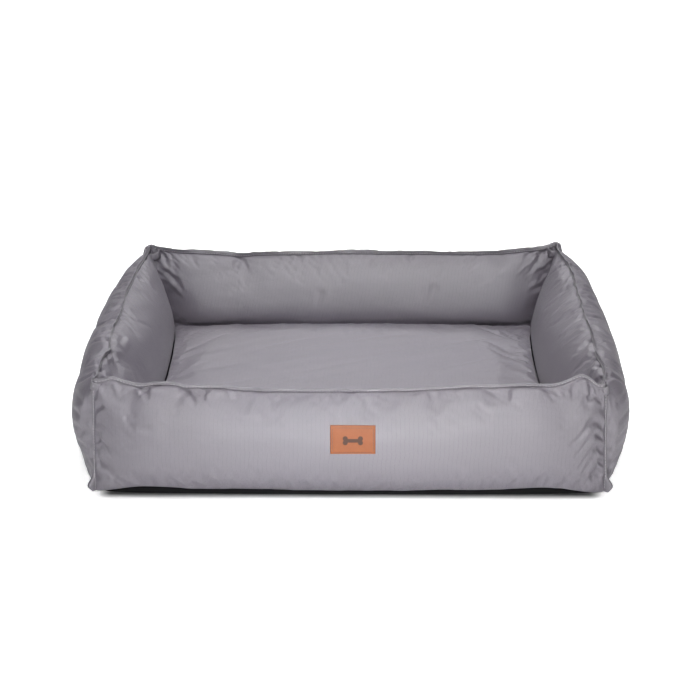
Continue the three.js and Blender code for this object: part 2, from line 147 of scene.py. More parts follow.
INNER_CREASES = {
    "front": [(-250, 2, -240, 28, 6, 2.5), (-60, 2, -66, 24, 6, 2), (160, 2, 152, 28, 6, 2.4)],
    "right": [
        (-214, 2, -222, 44, 6, 3), (-166, 2, -160, 52, 6, 3), (-120, 2, -126, 46, 6, 2.6),
        (-76, 2, -72, 54, 6, 2.8), (-30, 2, -36, 44, 6, 2.4), (12, 2, 18, 56, 6, 3),
        (60, 2, 54, 44, 6, 2.4), (104, 2, 112, 58, 7, 3.2), (152, 2, 146, 52, 7, 3),
        (196, 2, 204, 48, 6, 3), (-252, 4, -236, 40, 6, 3.4)
    ],
    "back": [
        (360, 3, 346, 34, 6, 4.5), (345, 2, 338, 22, 4, 2.5), (212, 2, 220, 34, 6, 2.4),
        (212, 2, 198, 24, 5, 2), (100, 4, 92, 30, 6, 1.6), (-110, 3, -104, 28, 7, 1.6),
        (-200, 3, -192, 26, 6, 1.5), (-356, 3, -344, 30, 6, 4), (-330, 2, -318, 26, 6, 2),
        (-150, 70, -140, 96, 7, 2), (60, 78, 66, 100, 7, 1.6)
    ],
    "left": [
        (150, 2, 166, 34, 7, 4), (176, 4, 206, 44, 7, 3), (226, 3, 240, 40, 6, 3),
        (130, 2, 122, 30, 6, 2.4), (-150, 14, -140, 46, 7, 2.2), (40, 2, 44, 26, 6, 1.6),
        (-60, 2, -54, 26, 6, 1.6), (-230, 3, -220, 34, 6, 3)
    ],
}


class Wall:
    """One bolster wall. s runs from -1 to 1 along it, anticlockwise, and w is outward from its ridge."""

    def __init__(self, name, turn):
        self.name = name
        self.turn = turn  # quarter turns from the front wall
        self.long = turn % 2 == 0
        self.half, self.offset = (RIDGE_X, RIDGE_Y) if self.long else (RIDGE_Y, RIDGE_X)
        self.ridge = low(f"{name}_ridge_seam")[2] - FIN_GAP
        self.ends = [CORNER_Z + CORNER_RISE[CORNERS[(turn + k) % 4]] for k in (0, 1)]

    def place(self, along, outward, z):
        """Points of the row frame from lengths along the wall, out from the middle of the bed, and up."""
        x, y = along, -outward
        for _ in range(self.turn):
            x, y = -y, x
        return np.stack(np.broadcast_arrays(x, y, z), -1)

    def humps(self, s, column):
        """Sum of this wall's humps at s: column 1 is their rise and column 2 their push outward."""
        total = np.zeros_like(s)
        for hump in RIDGE_HUMPS[self.name]:
            away = (s * self.half - hump[0] * MM) / (hump[3] * MM)
            total = total + hump[column] * MM * np.exp(-away ** 2)
        return total * (1 - np.abs(s) ** 24)

    def ridge_height(self, s):
        end = np.where(s < 0, self.ends[0], self.ends[1])
        rise = (end - self.ridge) * np.abs(s) ** RIDGE_POWER[self.name]
        return self.ridge + rise + self.humps(s, 1)

    def foot_shift(self, s, h=0.0):
        """The outer foot bows out along the wall and draws in at its corners; h is the share of height."""
        away = self.half * (1 - np.abs(s))
        bow = FOOT_BOW[self.name] * (1 - s ** 2) * (1 - h) ** 2
        return bow - CORNER_TUCK * FOOT_OUT * (1 - h) * np.exp(-away / (22 * MM))

    def corner_move(self, s):
        """How far the sewn corners pull the wall sideways at s."""
        total = 0
        for k, end in enumerate((-1, 1)):
            near = np.exp(-(self.half * (1 - end * s) / (45 * MM)) ** 2)
            total = total + near[..., None] * (*CORNER_MOVE[CORNERS[(self.turn + k) % 4]], 0)
        return total

    def hem_height(self, s):
        """The hem touches the base at the corners and lifts a little between them."""
        lift = 0.4 * MM * noise1(s * self.half / (25 * MM), 40 + self.turn) * (1 - s ** 8)
        for place, rise, spread in HEM_LIFTS[self.name]:
            lift = lift + rise * MM * np.exp(-((s - place) / spread) ** 2)
        return BASE_TOP + 1 * MM + np.maximum(lift * (1 - s ** 10), 0)


# ---------------------------------------------------------------- small mesh tools


def smoothstep(x):
    x = np.clip(x, 0, 1)
    return x * x * (3 - 2 * x)


def bezier(points, t):
    p = np.array(points, float)
    t = np.asarray(t, float)[..., None]
    return ((1 - t) ** 3 * p[0] + 3 * (1 - t) ** 2 * t * p[1]
            + 3 * (1 - t) * t ** 2 * p[2] + t ** 3 * p[3])


def lengths(grid, axis):
    """Distance run along one axis of a grid of points, from its start."""
    steps = np.linalg.norm(np.diff(grid, axis=axis), axis=-1)
    start = np.zeros_like(np.take(steps, [0], axis))
    return np.concatenate([start, np.cumsum(steps, axis)], axis)


def unit(vectors):
    return vectors / np.maximum(np.linalg.norm(vectors, axis=-1, keepdims=True), 1e-12)


def sample(run, wanted, values):
    """Values given at the lengths run, read at the wanted lengths."""
    return np.stack([np.interp(wanted, run, values[:, k]) for k in range(values.shape[1])], -1)


def normals(grid):
    """Unit normals of a grid of points."""
    return unit(np.cross(np.gradient(grid, axis=1), np.gradient(grid, axis=0)))


def refine(grid, axis):
    """Doubles a grid along one axis with a smooth four-point rule."""
    g = np.moveaxis(grid, axis, 0)
    before = np.concatenate([2 * g[:1] - g[1:2], g[:-1]])[:-1]
    after = np.concatenate([g[1:], 2 * g[-1:] - g[-2:-1]])[1:]
    middle = (9 * (g[:-1] + g[1:]) - before - after) / 16
    fine = np.empty((2 * len(g) - 1,) + g.shape[1:])
    fine[::2], fine[1::2] = g, middle
    return np.moveaxis(fine, 0, axis)


def finer(grid, times=2):
    for _ in range(times):
        grid = refine(refine(grid, 0), 1)
    return grid


def noise1(x, seed, octaves=2):
    """Smooth noise of one variable, about -1 to 1, with features about 1 long."""
    total, size = 0, 1
    for k in range(octaves):
        table = np.random.default_rng(seed + k).uniform(-1, 1, 512)
        y = np.asarray(x) * 2 ** k
        i = np.floor(y).astype(int)
        f = smoothstep(y - i)
        total = total + size * (table[i % 512] * (1 - f) + table[(i + 1) % 512] * f)
        size /= 2
    return total


def noise2(x, y, seed, octaves=2):
    """Smooth noise of two variables, about -1 to 1, with features about 1 across."""
    total, size = 0, 1
    for k in range(octaves):
        table = np.random.default_rng(seed + k).uniform(-1, 1, (256, 256))
        u, v = np.asarray(x) * 2 ** k, np.asarray(y) * 2 ** k
        i, j = np.floor(u).astype(int), np.floor(v).astype(int)
        f, g = smoothstep(u - i), smoothstep(v - j)
        near = table[i % 256, j % 256] * (1 - g) + table[i % 256, (j + 1) % 256] * g
        far = table[(i + 1) % 256, j % 256] * (1 - g) + table[(i + 1) % 256, (j + 1) % 256] * g
        total = total + size * (near * (1 - f) + far * f)
        size /= 2
    return total


def make_mesh(name, points, faces, uv=None):
    """A smooth-shaded object. uv holds one pair for each point, in metres of cloth."""
    mesh = bpy.data.meshes.new(name)
    mesh.from_pydata(np.asarray(points).reshape(-1, 3).tolist(), [], faces)
    mesh.polygons.foreach_set("use_smooth", [True] * len(mesh.polygons))
    if uv is not None:
        layer = mesh.uv_layers.new(name="cloth")
        corner = np.empty(len(mesh.loops), np.int32)
        mesh.loops.foreach_get("vertex_index", corner)
        layer.data.foreach_set("uv", np.asarray(uv, float).reshape(-1, 2)[corner].ravel())
    piece = bpy.data.objects.new(name, mesh)
    bpy.context.scene.collection.objects.link(piece)
    return piece


def grid_faces(rows, columns, wrap_rows=False, wrap_columns=False, start=0):
    i, j = np.meshgrid(np.arange(rows if wrap_rows else rows - 1),
                       np.arange(columns if wrap_columns else columns - 1), indexing="ij")
    below, across = (i + 1) % rows * columns, (j + 1) % columns
    quads = np.stack([i * columns + j, i * columns + across, below + across, below + j], -1)
    return (quads.reshape(-1, 4) + start).tolist()


def edge_of(grid):
    """The values round the edge of a grid, in order."""
    return np.concatenate([grid[0], grid[1:, -1], grid[-1, -2::-1], grid[-2:0:-1, 0]])


def band(upper, lower):
    """Faces between two closed rings of point numbers."""
    return np.stack([lower, np.roll(lower, -1), np.roll(upper, -1), upper], -1).tolist()


def tube_rings(line, side, up, radius, sides):
    """Rings of points about a line."""
    angle = np.arange(sides) * 2 * math.pi / sides
    across = np.cos(angle)[None, :, None] * side[:, None]
    return line[:, None] + radius * (across + np.sin(angle)[None, :, None] * up[:, None])


def grid_piece(name, grid, uv=None, **wrap):
    return make_mesh(name, grid, grid_faces(grid.shape[0], grid.shape[1], **wrap), uv)


def tube_faces(rings, sides, start=0):
    """Faces of a closed tube whose rings all have the same number of points, with both ends capped."""
    faces = grid_faces(rings, sides, wrap_columns=True, start=start)
    last = start + (rings - 1) * sides
    return faces + [list(range(start, start + sides))[::-1], list(range(last, last + sides))]


def join_parts(parts):
    """Points and faces of several (points, faces) pairs as one pair."""
    points, faces, start = [], [], 0
    for part_points, part_faces in parts:
        part_points = np.asarray(part_points).reshape(-1, 3)
        points.append(part_points)
        faces += [[i + start for i in face] for face in part_faces]
        start += len(part_points)
    return np.concatenate(points), faces


def thicken(piece, thickness, offset=-1):
    solid = piece.modifiers.new("thickness", "SOLIDIFY")
    solid.thickness = thickness
    solid.offset = offset
    return piece


def finish_piece(piece, body, look, replaces=()):
    piece.data.materials.append(look)
    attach(piece, body)
    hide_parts(*replaces)
    return piece


# ---------------------------------------------------------------- the cloth of the walls


def spaced(curve, count):
    """count points evenly spaced along a wall's section, which is about 0.16 tall."""
    tall = np.array([1, 0.16])
    curve = curve * tall
    run = lengths(curve, 0)
    return sample(run, np.linspace(0, run[-1], count), curve) / tall


def outer_section(wall):
    """Section of a wall's outer face, foot to ridge, as (outward, share of the ridge's height)."""
    t = np.linspace(0, 1, 200)
    # the curve's two handles: the ends of the bed are fuller at the shoulder
    belly, shoulder = ((0.044, 0.2), (0.066, 0.86)) if wall.long else ((0.034, 0.16), (0.077, 0.93))
    return spaced(bezier([(FOOT_OUT, 0), belly, shoulder, (0, 1)], t), ROWS_OUT)


def fullness(wall, s, outside):
    """How much of its full bulge a wall has at s: none at the sewn corners."""
    away = wall.half * (1 - np.abs(s))
    long_way = 1 - np.exp(-(away / (85 * MM)) ** 1.15)
    short_way = 1 - np.exp(-(away / (26 * MM)) ** 1.4)
    return np.where(outside & wall.long, long_way, short_way)


def inner_section(wall):
    """Section of a wall's inner face, ridge to foot: fullest where it meets the mattress's edge."""
    foot_height = 0.2 if wall.long else 0.12
    t = np.linspace(0, 1, 200)
    curve = bezier([(0, 1), (-0.042, 0.82), (-0.08, 0.25), (FOOT_IN, foot_height)], t)
    foot = np.linspace((FOOT_IN, foot_height), (FOOT_IN, 0), 20)[1:]
    return spaced(np.concatenate([curve, foot]), ROWS_IN)


def stations(wall):
    """s values along a wall, closer together near its corners."""
    count = int(round(2 * wall.half / CELL / 2)) * 2 + 17
    u = np.linspace(-1, 1, count)
    return 0.72 * u + 0.28 * np.sin(u * math.pi / 2)


def wall_grid(wall, s):
    """A wall's cloth before it is filled: rows from the outer foot over the ridge to the inner foot,
    and back under the filling."""
    section = np.concatenate([outer_section(wall), inner_section(wall)[1:]])
    outside = np.arange(len(section))[:, None] < ROWS_OUT
    s = s[None, :]
    w, h = section[:, :1], section[:, 1:]
    straight = np.where(outside, FOOT_OUT, FOOT_IN) * (1 - h)
    barrel = 1 if wall.long else 0.74 + 0.53 * (1 - s ** 2)
    outward = straight + (w - straight) * fullness(wall, s, outside) * barrel + wall.humps(s, 2) * h ** 3
    outward = outward + np.where(outside, wall.foot_shift(s, h), 0)
    foot = np.where(outside, wall.hem_height(s), BASE_TOP + 0.6 * MM)
    z = foot + (wall.ridge_height(s) - foot) * h
    under = np.linspace(FOOT_IN, FOOT_OUT, ROWS_UNDER + 2)[1:-1, None] * np.ones_like(s)
    outward = np.concatenate([outward, under])
    z = np.concatenate([z, np.full_like(under, BASE_TOP + 0.6 * MM)])
    return wall.place(s * (wall.half + outward), wall.offset + outward, z) + wall.corner_move(s)


def weight_group(piece, name, weights):
    """A vertex group with these weights, to two places."""
    group = piece.vertex_groups.new(name=name)
    steps = np.round(weights, 2)
    for weight in np.unique(steps[steps > 0]):
        group.add(np.nonzero(steps == weight)[0].tolist(), float(weight), "REPLACE")


def cloth_settings(settings, pressure, grow, shrink_most):
    """Light, firm cloth that is blown up from inside, without gravity."""
    settings.quality = 7
    settings.mass = 0.15
    settings.air_damping = 3
    settings.tension_stiffness = settings.compression_stiffness = 40
    settings.shear_stiffness = 15
    settings.bending_stiffness = 0.15
    settings.tension_damping = settings.compression_damping = 10
    settings.vertex_group_mass = "pins"
    settings.pin_stiffness = 2
    settings.vertex_group_shrink = "seams"
    settings.shrink_min = -grow
    settings.shrink_max = shrink_most
    settings.use_pressure = True
    settings.uniform_pressure_force = pressure
    settings.effector_weights.gravity = 0


def simulate(points, faces, pins, shrink, frames, pressure, grow, shrink_most):
    """Inflates cloth from these points and gives its points back. pins and shrink hold a weight for each:
    cloth grows by grow where shrink is 0 and shrinks by shrink_most where it is 1."""
    work = make_mesh("cloth_in_work", points, faces)
    weight_group(work, "pins", pins)
    weight_group(work, "seams", shrink)
    modifier = work.modifiers.new("cloth", "CLOTH")
    cloth_settings(modifier.settings, pressure, grow, shrink_most)
    modifier.collision_settings.use_collision = False
    modifier.point_cache.frame_start = 1
    modifier.point_cache.frame_end = frames
    scene = bpy.context.scene
    for step in range(1, frames + 1):
        scene.frame_set(step)
    evaluated = work.evaluated_get(bpy.context.evaluated_depsgraph_get())
    result = np.empty(len(evaluated.data.vertices) * 3)
    evaluated.data.vertices.foreach_get("co", result)
    bpy.data.objects.remove(work)
    scene.frame_set(1)
    return result.reshape(-1, 3)


def cap_move(before, after, most):
    """Keeps every point within this distance of where it started."""
    move = after - before
    far = np.linalg.norm(move, axis=-1, keepdims=True)
    return before + move * np.minimum(1, most / np.maximum(far, 1e-9))


def seam_weights(rows, starts, columns):
    """Pins and shrink weights of the ring of walls: the cloth beside each seam is longer than the seam."""
    ridge, foot = ROWS_OUT - 1, ROWS_OUT + ROWS_IN - 2
    row = np.arange(rows)[:, None] * np.ones(columns)
    column = np.ones((rows, 1)) * np.arange(columns)
    pins = np.zeros((rows, columns))
    pins[0] = pins[foot:] = 1
    pins[foot - 4:foot] = 0.6
    pins[ridge] = 0.6
    away = np.minimum(np.abs(row - ridge), row)
    for start in starts:
        across = np.abs(column - start)
        across = np.minimum(across, columns - across)
        away = np.minimum(away, across * 0.75)
        pins[:ridge + 1, start] = 1
        pins[ridge:, start] = np.maximum(pins[ridge:, start], 0.7)
    shrink = np.clip(0.45 - 0.42 * np.exp(-away / 2.5), 0.03, 1)
    shrink[away < 0.5] = 0.9
    return pins, shrink


def wall_cloth():
    """The four walls as grids of points, filled and wrinkled, by name."""
    grids = {name: wall_grid(wall, stations(wall)) for name, wall in walls.items()}
    ring = np.concatenate([grids[name][:, :-1] for name in WALLS], 1)
    rows, columns = ring.shape[:2]
    starts = np.cumsum([0] + [grids[name].shape[1] - 1 for name in WALLS])
    pins, shrink = seam_weights(rows, starts[:-1], columns)
    faces = grid_faces(rows, columns, wrap_rows=True, wrap_columns=True)
    filled = simulate(ring.reshape(-1, 3), faces, pins.ravel(), shrink.ravel(), frames=22,
                      pressure=3.5, grow=0.03, shrink_most=0.04)
    ring = cap_move(ring, filled.reshape(ring.shape), 14 * MM)
    ring = np.concatenate([ring, ring[:, :1]], 1)
    return {name: ring[:, starts[k]:starts[k + 1] + 1] for k, name in enumerate(WALLS)}


def puckers(position, distance, pitch, reach, depth, seed, slant=0.0):
    """Short creases about square to a seam, deepest beside it and gone a little further off."""
    wave = noise1((position + slant * distance) / pitch, seed, 2)
    valley = np.exp(-(wave / 0.3) ** 2)
    strength = 0.55 + 0.45 * noise1(position / (5 * pitch), seed + 9, 1)
    return -depth * strength * valley * smoothstep(distance / (5 * MM)) * np.exp(-distance / reach)


def crease(along, drop, start, end, width, depth):
    """A groove with soft shoulders between two places on a panel, widest and deepest at its start."""
    start, end = np.array(start) * MM, np.array(end) * MM
    way = end - start
    t = np.clip(((along - start[0]) * way[0] + (drop - start[1]) * way[1]) / (way @ way), 0, 1)
    off = np.hypot(along - start[0] - t * way[0], drop - start[1] - t * way[1])
    wide = width * MM * (1 - 0.5 * t)
    groove = np.exp(-(off / wide) ** 2) - 0.35 * np.exp(-((off - 2 * wide) / wide) ** 2)
    return -depth * MM * (1 - 0.85 * t) * groove


def wrinkled(grid, creases, seed):
    """Presses puckers and creases into a fine grid whose first row is the ridge."""
    drop = lengths(grid, 0)
    run = lengths(grid, 1)
    full = run[:, -1:]
    along = run - full / 2
    from_foot = drop[-1:] - drop
    first, last = run, full - run
    z = grid[..., 2]
    move = puckers(along, drop, 17 * MM, 15 * MM, 1.6 * MM, seed)
    move = move + puckers(along, drop, 7 * MM, 6 * MM, 0.6 * MM, seed + 3)
    move = move + puckers(along, from_foot, 21 * MM, 14 * MM, 1.2 * MM, seed + 5)
    move = move + puckers(z, first, 24 * MM, 20 * MM, 1.5 * MM, seed + 11, 0.9)
    move = move + puckers(z, last, 24 * MM, 20 * MM, 1.5 * MM, seed + 13, 0.9)
    for a, b, c, d, width, depth in creases:
        move = move + crease(along, drop, (a, b), (c, d), width, depth)
    soft = noise2(along / (60 * MM), drop / (45 * MM), seed + 17, 3)
    move = move + 0.6 * MM * soft
    held = 6 * MM  # beside its seams the cloth lies flat
    edge = smoothstep(np.minimum(drop, from_foot) / held) * smoothstep(np.minimum(first, last) / held)
    return grid + (move * edge)[..., None] * normals(grid)


def wall_faces():
    """Fine grids of both faces of each wall. Outer grids run down from the ridge, as inner ones do."""
    faces = {}
    for seed, name in enumerate(WALLS):
        grid = cloth[name]
        outer = finer(grid[:ROWS_OUT])[::-1, ::-1]
        inner = finer(grid[ROWS_OUT - 1:ROWS_OUT + ROWS_IN - 1])
        mirrored = [(-a, b, -c, d, width, depth) for a, b, c, d, width, depth in OUTER_CREASES[name]]
        faces[name, "outer"] = wrinkled(outer, mirrored, 100 + 40 * seed)
        faces[name, "inner"] = wrinkled(inner, INNER_CREASES[name], 120 + 40 * seed)
    return faces


def cloth_uv(grid):
    """Lengths along the columns and along the rows of a grid, for its weave."""
    return np.stack([lengths(grid, 1), lengths(grid, 0)], -1)


def fin_uv(grid):
    """The same for a strip or a tube, whose rows run along the seam."""
    return cloth_uv(grid)[..., ::-1]


def ripstop_panel(name, grid, body, node, window=None):
    """One fabric panel on a grid of points, left open where window is true."""
    uv = cloth_uv(grid)
    faces = np.array(grid_faces(*grid.shape[:2]))
    if window:
        faces = faces[~window(grid.reshape(-1, 3)[faces].mean(1))]
    piece = make_mesh(name, grid, faces.tolist(), uv)
    drop_loose(piece)
    thicken(piece, CLOTH)
    finish_piece(piece, body, looks["ripstop"], [node])


def wall_zip_window(points):
    """Where the inner panel of a long wall leaves room for its zip."""
    return (points[:, 2] < ZIP_TOP + ZIP_ROOM) & (np.abs(points[:, 0]) < ZIP_END + ZIP_ROOM)


def panel(name, side):
    """A wall's panel, which meets its neighbours at the ridge and at the corner seams."""
    window = wall_zip_window if walls[name].long and side == "inner" else None
    ripstop_panel(f"{name}_{side}_cloth", faces_of[name, side], "bed", f"{name}_{side}_panel",
                  window)


def drop_loose(piece):
    """Removes points that no face uses."""
    mesh = bmesh.new()
    mesh.from_mesh(piece.data)
    bmesh.ops.delete(mesh, geom=[v for v in mesh.verts if not v.link_faces], context="VERTS")
    mesh.to_mesh(piece.data)
    mesh.free()


# ---------------------------------------------------------------- seams


def fin(line, side, up, thickness, height):
    """Points and faces of a folded strip that stands on a line. side and up are unit vectors at each point
    of the line, and its two layers show as a groove along its edge."""
    across = np.array([-0.5, -0.5, -0.46, -0.25, 0, 0.25, 0.46, 0.5, 0.5])
    rise = np.array([-0.3, 0.5, 0.92, 1.0, 0.94, 1.0, 0.92, 0.5, -0.3])
    wide = np.asarray(thickness)[:, None, None] * across[None, :, None] * side[:, None]
    tall = np.asarray(height)[:, None, None] * rise[None, :, None] * up[:, None]
    points = line[:, None] + wide + tall
    return points, tube_faces(len(line), len(across))


def evenly(line):
    """The same line with points about 2 mm apart."""
    run = lengths(line, 0)
    return sample(run, np.linspace(0, run[-1], int(run[-1] / (2 * MM))), line)


def ridge_line(wall):
    """The sewn ridge, evenly spaced, with its outward and upward directions."""
    line = evenly(faces_of[wall.name, "inner"][0])
    outward = wall.place(np.zeros(len(line)), np.ones(len(line)), 0)
    return line, outward, np.zeros_like(line) + (0, 0, 1)


def ridge(wall):
    """The folded ridge of a wall and the two rows of topstitching that hold it."""
    line, outward, up = ridge_line(wall)
    run = lengths(line, 0)
    ends = smoothstep(run / (14 * MM)) * smoothstep((run[-1] - run) / (14 * MM))
    seed = 300 + 10 * wall.turn
    sway = (0.35 * noise1(run / (55 * MM), seed) + 0.16 * noise1(run / (14 * MM), seed + 3)) * ends
    lean = unit(up + outward * sway[:, None])
    uneven = 0.12 * noise1(run / (38 * MM), seed + 5) + 0.05 * noise1(run / (9 * MM), seed + 7)
    height = FIN_HEIGHT[wall.name] * (0.95 + uneven)
    thickness = 1.8 * MM * (1 + 0.16 * noise1(run / (12 * MM), seed + 8))
    points, faces = fin(line, outward, lean, thickness, height)
    fold_piece(f"{wall.name}_ridge_fin", points, faces, f"{wall.name}_ridge_seam")
    topstitch(f"{wall.name}_ridge_topstitch", line + lean * 2.2 * MM, outward, thickness)


def stitches(line, normal, pitch=4.6 * MM, length=3.5 * MM, radius=0.36 * MM):
    """Points and faces of a row of stitches that lies on a line. Each is a short thread that dips in at
    both ends."""
    run = lengths(line, 0)
    count = int((run[-1] - pitch) / pitch)
    start = (np.arange(count) + 0.6) * pitch
    # five places along a stitch, with how far it stands off and how thick it is at each
    place = np.array([0, 0.12, 0.5, 0.88, 1]) * length
    lift = np.array([-1.1, 0.3, 0.62, 0.3, -1.1]) * radius
    size = np.array([0.5, 0.95, 1.1, 0.95, 0.5]) * radius
    at = start[:, None] + place
    centre_line = sample(run, at.ravel(), line).reshape(count, -1, 3)
    off = unit(sample(run, at.ravel(), normal)).reshape(count, -1, 3)
    ahead = unit(np.gradient(centre_line, axis=1))
    side = unit(np.cross(ahead, off))
    sides = 6
    angle = np.arange(sides) * 2 * math.pi / sides
    ring = (np.cos(angle)[:, None] * side[:, :, None] + np.sin(angle)[:, None] * off[:, :, None])
    points = (centre_line + off * lift[:, None])[:, :, None] + ring * size[:, None, None]
    faces = [[i + len(place) * sides * k for i in face]
             for k in range(count) for face in tube_faces(len(place), sides)]
    return points.reshape(-1, 3), faces


def fold_piece(name, points, faces, node):
    """A folded strip of fabric that stands for a seam."""
    piece = make_mesh(name, points, faces, fin_uv(points))
    finish_piece(piece, "bed", looks["ripstop_painted_shade"], [node])


def topstitch(name, line, side, thickness):
    """A row of stitches on each side of a fold."""
    rows = [stitches(line + side * (sign * thickness / 2)[:, None], sign * side) for sign in (-1, 1)]
    finish_piece(make_mesh(name, *join_parts(rows)), "bed", looks["seam_thread"])


def corner_line(index):
    """The sewn corner where wall number index starts, ridge to foot, and its outward direction."""
    wall = walls[WALLS[index]]
    line = evenly(faces_of[wall.name, "outer"][:, -1])
    outward = unit(wall.place(-1.0, 1.0, 0.0)) + np.zeros_like(line)
    sideways = unit(wall.place(1.0, 1.0, 0.0)) + np.zeros_like(line)
    return line, outward, sideways


def corner(index):
    """The folded seam down an outer corner, with its topstitching."""
    name = CORNERS[index]
    line, outward, sideways = corner_line(index)
    run = lengths(line, 0)
    seed = 400 + 10 * index
    flare = np.exp(-((run[-1] - run - 11 * MM) / (11 * MM)) ** 2)
    # the fold widens into a small foot just above the floor
    height = (2.4 + 0.7 * noise1(run / (16 * MM), seed) + 10 * flare) * MM
    thickness = (2.0 + 0.4 * noise1(run / (10 * MM), seed + 2) + 4 * flare) * MM
    sway = 0.35 * noise1(run / (30 * MM), seed + 4)
    lean = unit(outward + sideways * sway[:, None])
    points, faces = fin(line, sideways, lean, thickness, height)
    points[..., 2] = np.maximum(points[..., 2], BASE_TOP + 0.4 * MM)
    fold_piece(f"{name}_corner_fold", points, faces, f"{name}_corner_seam")
    topstitch(f"{name}_corner_topstitch", line + lean * 1.6 * MM, sideways, thickness)


def ear(index, size, stretch, turn, tilt, back, front):
    """The rolled end of the seams at the top of a corner: a hood of fabric that stands up by back on its
    far side, towards tilt, and by front on the near side."""
    name = CORNERS[index]
    top = corner_line(index)[0][0]
    inward = -corner_line(index)[1][0]
    around = 48
    angle = np.linspace(0, 2 * math.pi, around, endpoint=False)
    uneven = noise1(angle * 1.3, 500 + index) * np.sin(angle / 2) ** 2
    radius = size * (1 + 0.16 * uneven)
    ring = np.stack([np.cos(angle) * radius * stretch, np.sin(angle) * radius / stretch], -1)
    cos, sin = math.cos(turn), math.sin(turn)
    ring = ring @ np.array([[cos, sin], [-sin, cos]])
    rise = (back + front) / 2 + (back - front) / 2 * np.cos(angle - tilt) + 1 * MM * uneven
    # each column of the section: share of the radius, and mm below the rim
    section = [(1.25, 12), (1.12, 6), (1.04, 2), (1.0, 0.4), (0.93, 0), (0.83, 0.3), (0.75, 1.2), (0.7, 4),
               (0.66, 9), (0.8, 12)]
    points = np.empty((around, len(section), 3))
    for k, (share, below) in enumerate(section):
        points[:, k, :2] = top[:2] + inward[:2] * size * 0.6 + ring * share
        points[:, k, 2] = top[2] + rise - below * MM
    piece = grid_piece(f"{name}_corner_ear", points, fin_uv(points), wrap_rows=True, wrap_columns=True)
    finish_piece(piece, "bed", looks["ripstop_painted_shade"])


def ears():
    """The ears by corner number: size, stretch, turn and tilt in radians, and their two heights."""
    ear(0, 5 * MM, 1.3, 0.2, 1.8, 4 * MM, 0)
    ear(1, 5.5 * MM, 1.35, -0.4, 1.5, 5 * MM, 0)
    ear(2, 9.5 * MM, 1.3, -0.3, 1.3, 7 * MM, -7 * MM)
    ear(3, 10 * MM, 1.25, 0.2, 1.7, 6 * MM, -8 * MM)


# ---------------------------------------------------------------- base


def base_outline(inset):
    """The foot line of the walls, drawn in by inset, with the top of the turned-up edge at each point."""
    points, tops = [], []
    for wall in walls.values():
        s = np.linspace(-1, 1, 160)[:-1]
        outward = FOOT_OUT + wall.foot_shift(s) - inset - BASE_SETBACK[wall.name]
        points.append(wall.place(s * (wall.half + outward), wall.offset + outward, 0) + wall.corner_move(s))
        tops.append(wall.hem_height(s) + 3 * MM)
    points = np.concatenate(points)
    for _ in range(3):
        points = (np.roll(points, 1, 0) + 2 * points + np.roll(points, -1, 0)) / 4
    return points[:, :2], np.concatenate(tops)


def base():
    """Non-slip sheet: its edge turns up behind the hem of the walls, and its underside has rubber dots."""
    underside, edge_inset = 0.45 * MM, 2.0 * MM
    # inset and height of each ring of the turned-up edge, from the top of the edge down
    steps = [(2.2 * MM, None), (1.5 * MM, 2.2 * MM), (1.3 * MM, 1.2 * MM), (edge_inset, underside)]
    rings = []
    for inset, z in steps:
        ring, tops = base_outline(inset)
        rings.append(np.column_stack([ring, tops if z is None else np.full(len(ring), z)]))
    for share in (0.97, 0.9, 0.7, 0.45, 0.2, 0.04):
        ring = base_outline(edge_inset)[0] * share
        rings.append(np.column_stack([ring, np.full(len(ring), underside)]))
    points = np.array(rings)
    faces = grid_faces(len(rings), points.shape[1], wrap_columns=True)
    faces.append(list(range((len(rings) - 1) * points.shape[1], len(rings) * points.shape[1])))
    piece = make_mesh("base_cloth", points, faces, points[..., :2])
    thicken(piece, 0.5 * MM, 1)
    finish_piece(piece, "bed", looks["non_slip"], ["base_sheet"])


def grip_dots():
    """Rubber dots under the base, in staggered rows."""
    pitch, radius, height = 13 * MM, 2 * MM, 0.45 * MM
    across = np.arange(-RIDGE_X, RIDGE_X, pitch)
    down = np.arange(-RIDGE_Y, RIDGE_Y, pitch * 0.866)
    angle = np.arange(8) * math.pi / 4
    round_dot = np.stack([np.cos(angle), np.sin(angle)], -1) * radius
    rings = [(1.0, height + 0.15 * MM), (0.92, height * 0.35), (0.55, 0.02 * MM)]
    one = np.concatenate([np.column_stack([round_dot * share, np.full(8, z)]) for share, z in rings])
    dots = []
    for row, y in enumerate(down):
        for x in across + (pitch / 2 if row % 2 else 0):
            dots.append((one + (x, y, 0), tube_faces(3, 8)))
    piece = make_mesh("base_grip_dots", *join_parts(dots))
    finish_piece(piece, "bed", looks["rubber"])


# ---------------------------------------------------------------- fillings


def bolster_pillow(wall):
    """Fibre-filled pillow inside a wall: the filled wall drawn in a little, with rounded ends."""
    grid = cloth[wall.name]
    s = stations(wall)
    end_share = 0.955  # the pillow ends here, short of the sewn corners
    keep = np.abs(s) < end_share
    section = np.concatenate([grid[2:ROWS_OUT - 2], grid[ROWS_OUT + 1:ROWS_OUT + ROWS_IN - 7]])[:, keep]
    foot_in = grid[ROWS_OUT + ROWS_IN - 2][None, keep] * 0.25 + grid[0][None, keep] * 0.75
    section = np.concatenate([section, foot_in])
    middle = section.mean(0)
    reach = np.linalg.norm(section - middle, axis=-1, keepdims=True)
    end = 1 - np.abs(s[keep]) / end_share
    round_end = np.sqrt(1 - (1 - np.clip(end / 0.08, 0.02, 1)) ** 2)[None, :, None]
    inset = 8 * MM
    section = middle + (section - middle) * (1 - inset / reach) * round_end
    section[..., 2] = np.maximum(section[..., 2], BASE_TOP + 2.5 * MM)
    points = np.moveaxis(section, 0, 1)
    piece = make_mesh(f"{wall.name}_bolster_pillow", points, tube_faces(points.shape[0], points.shape[1]))
    finish_piece(piece, "bed", looks["fibre"], [f"{wall.name}_bolster_insert"])


# ---------------------------------------------------------------- materials


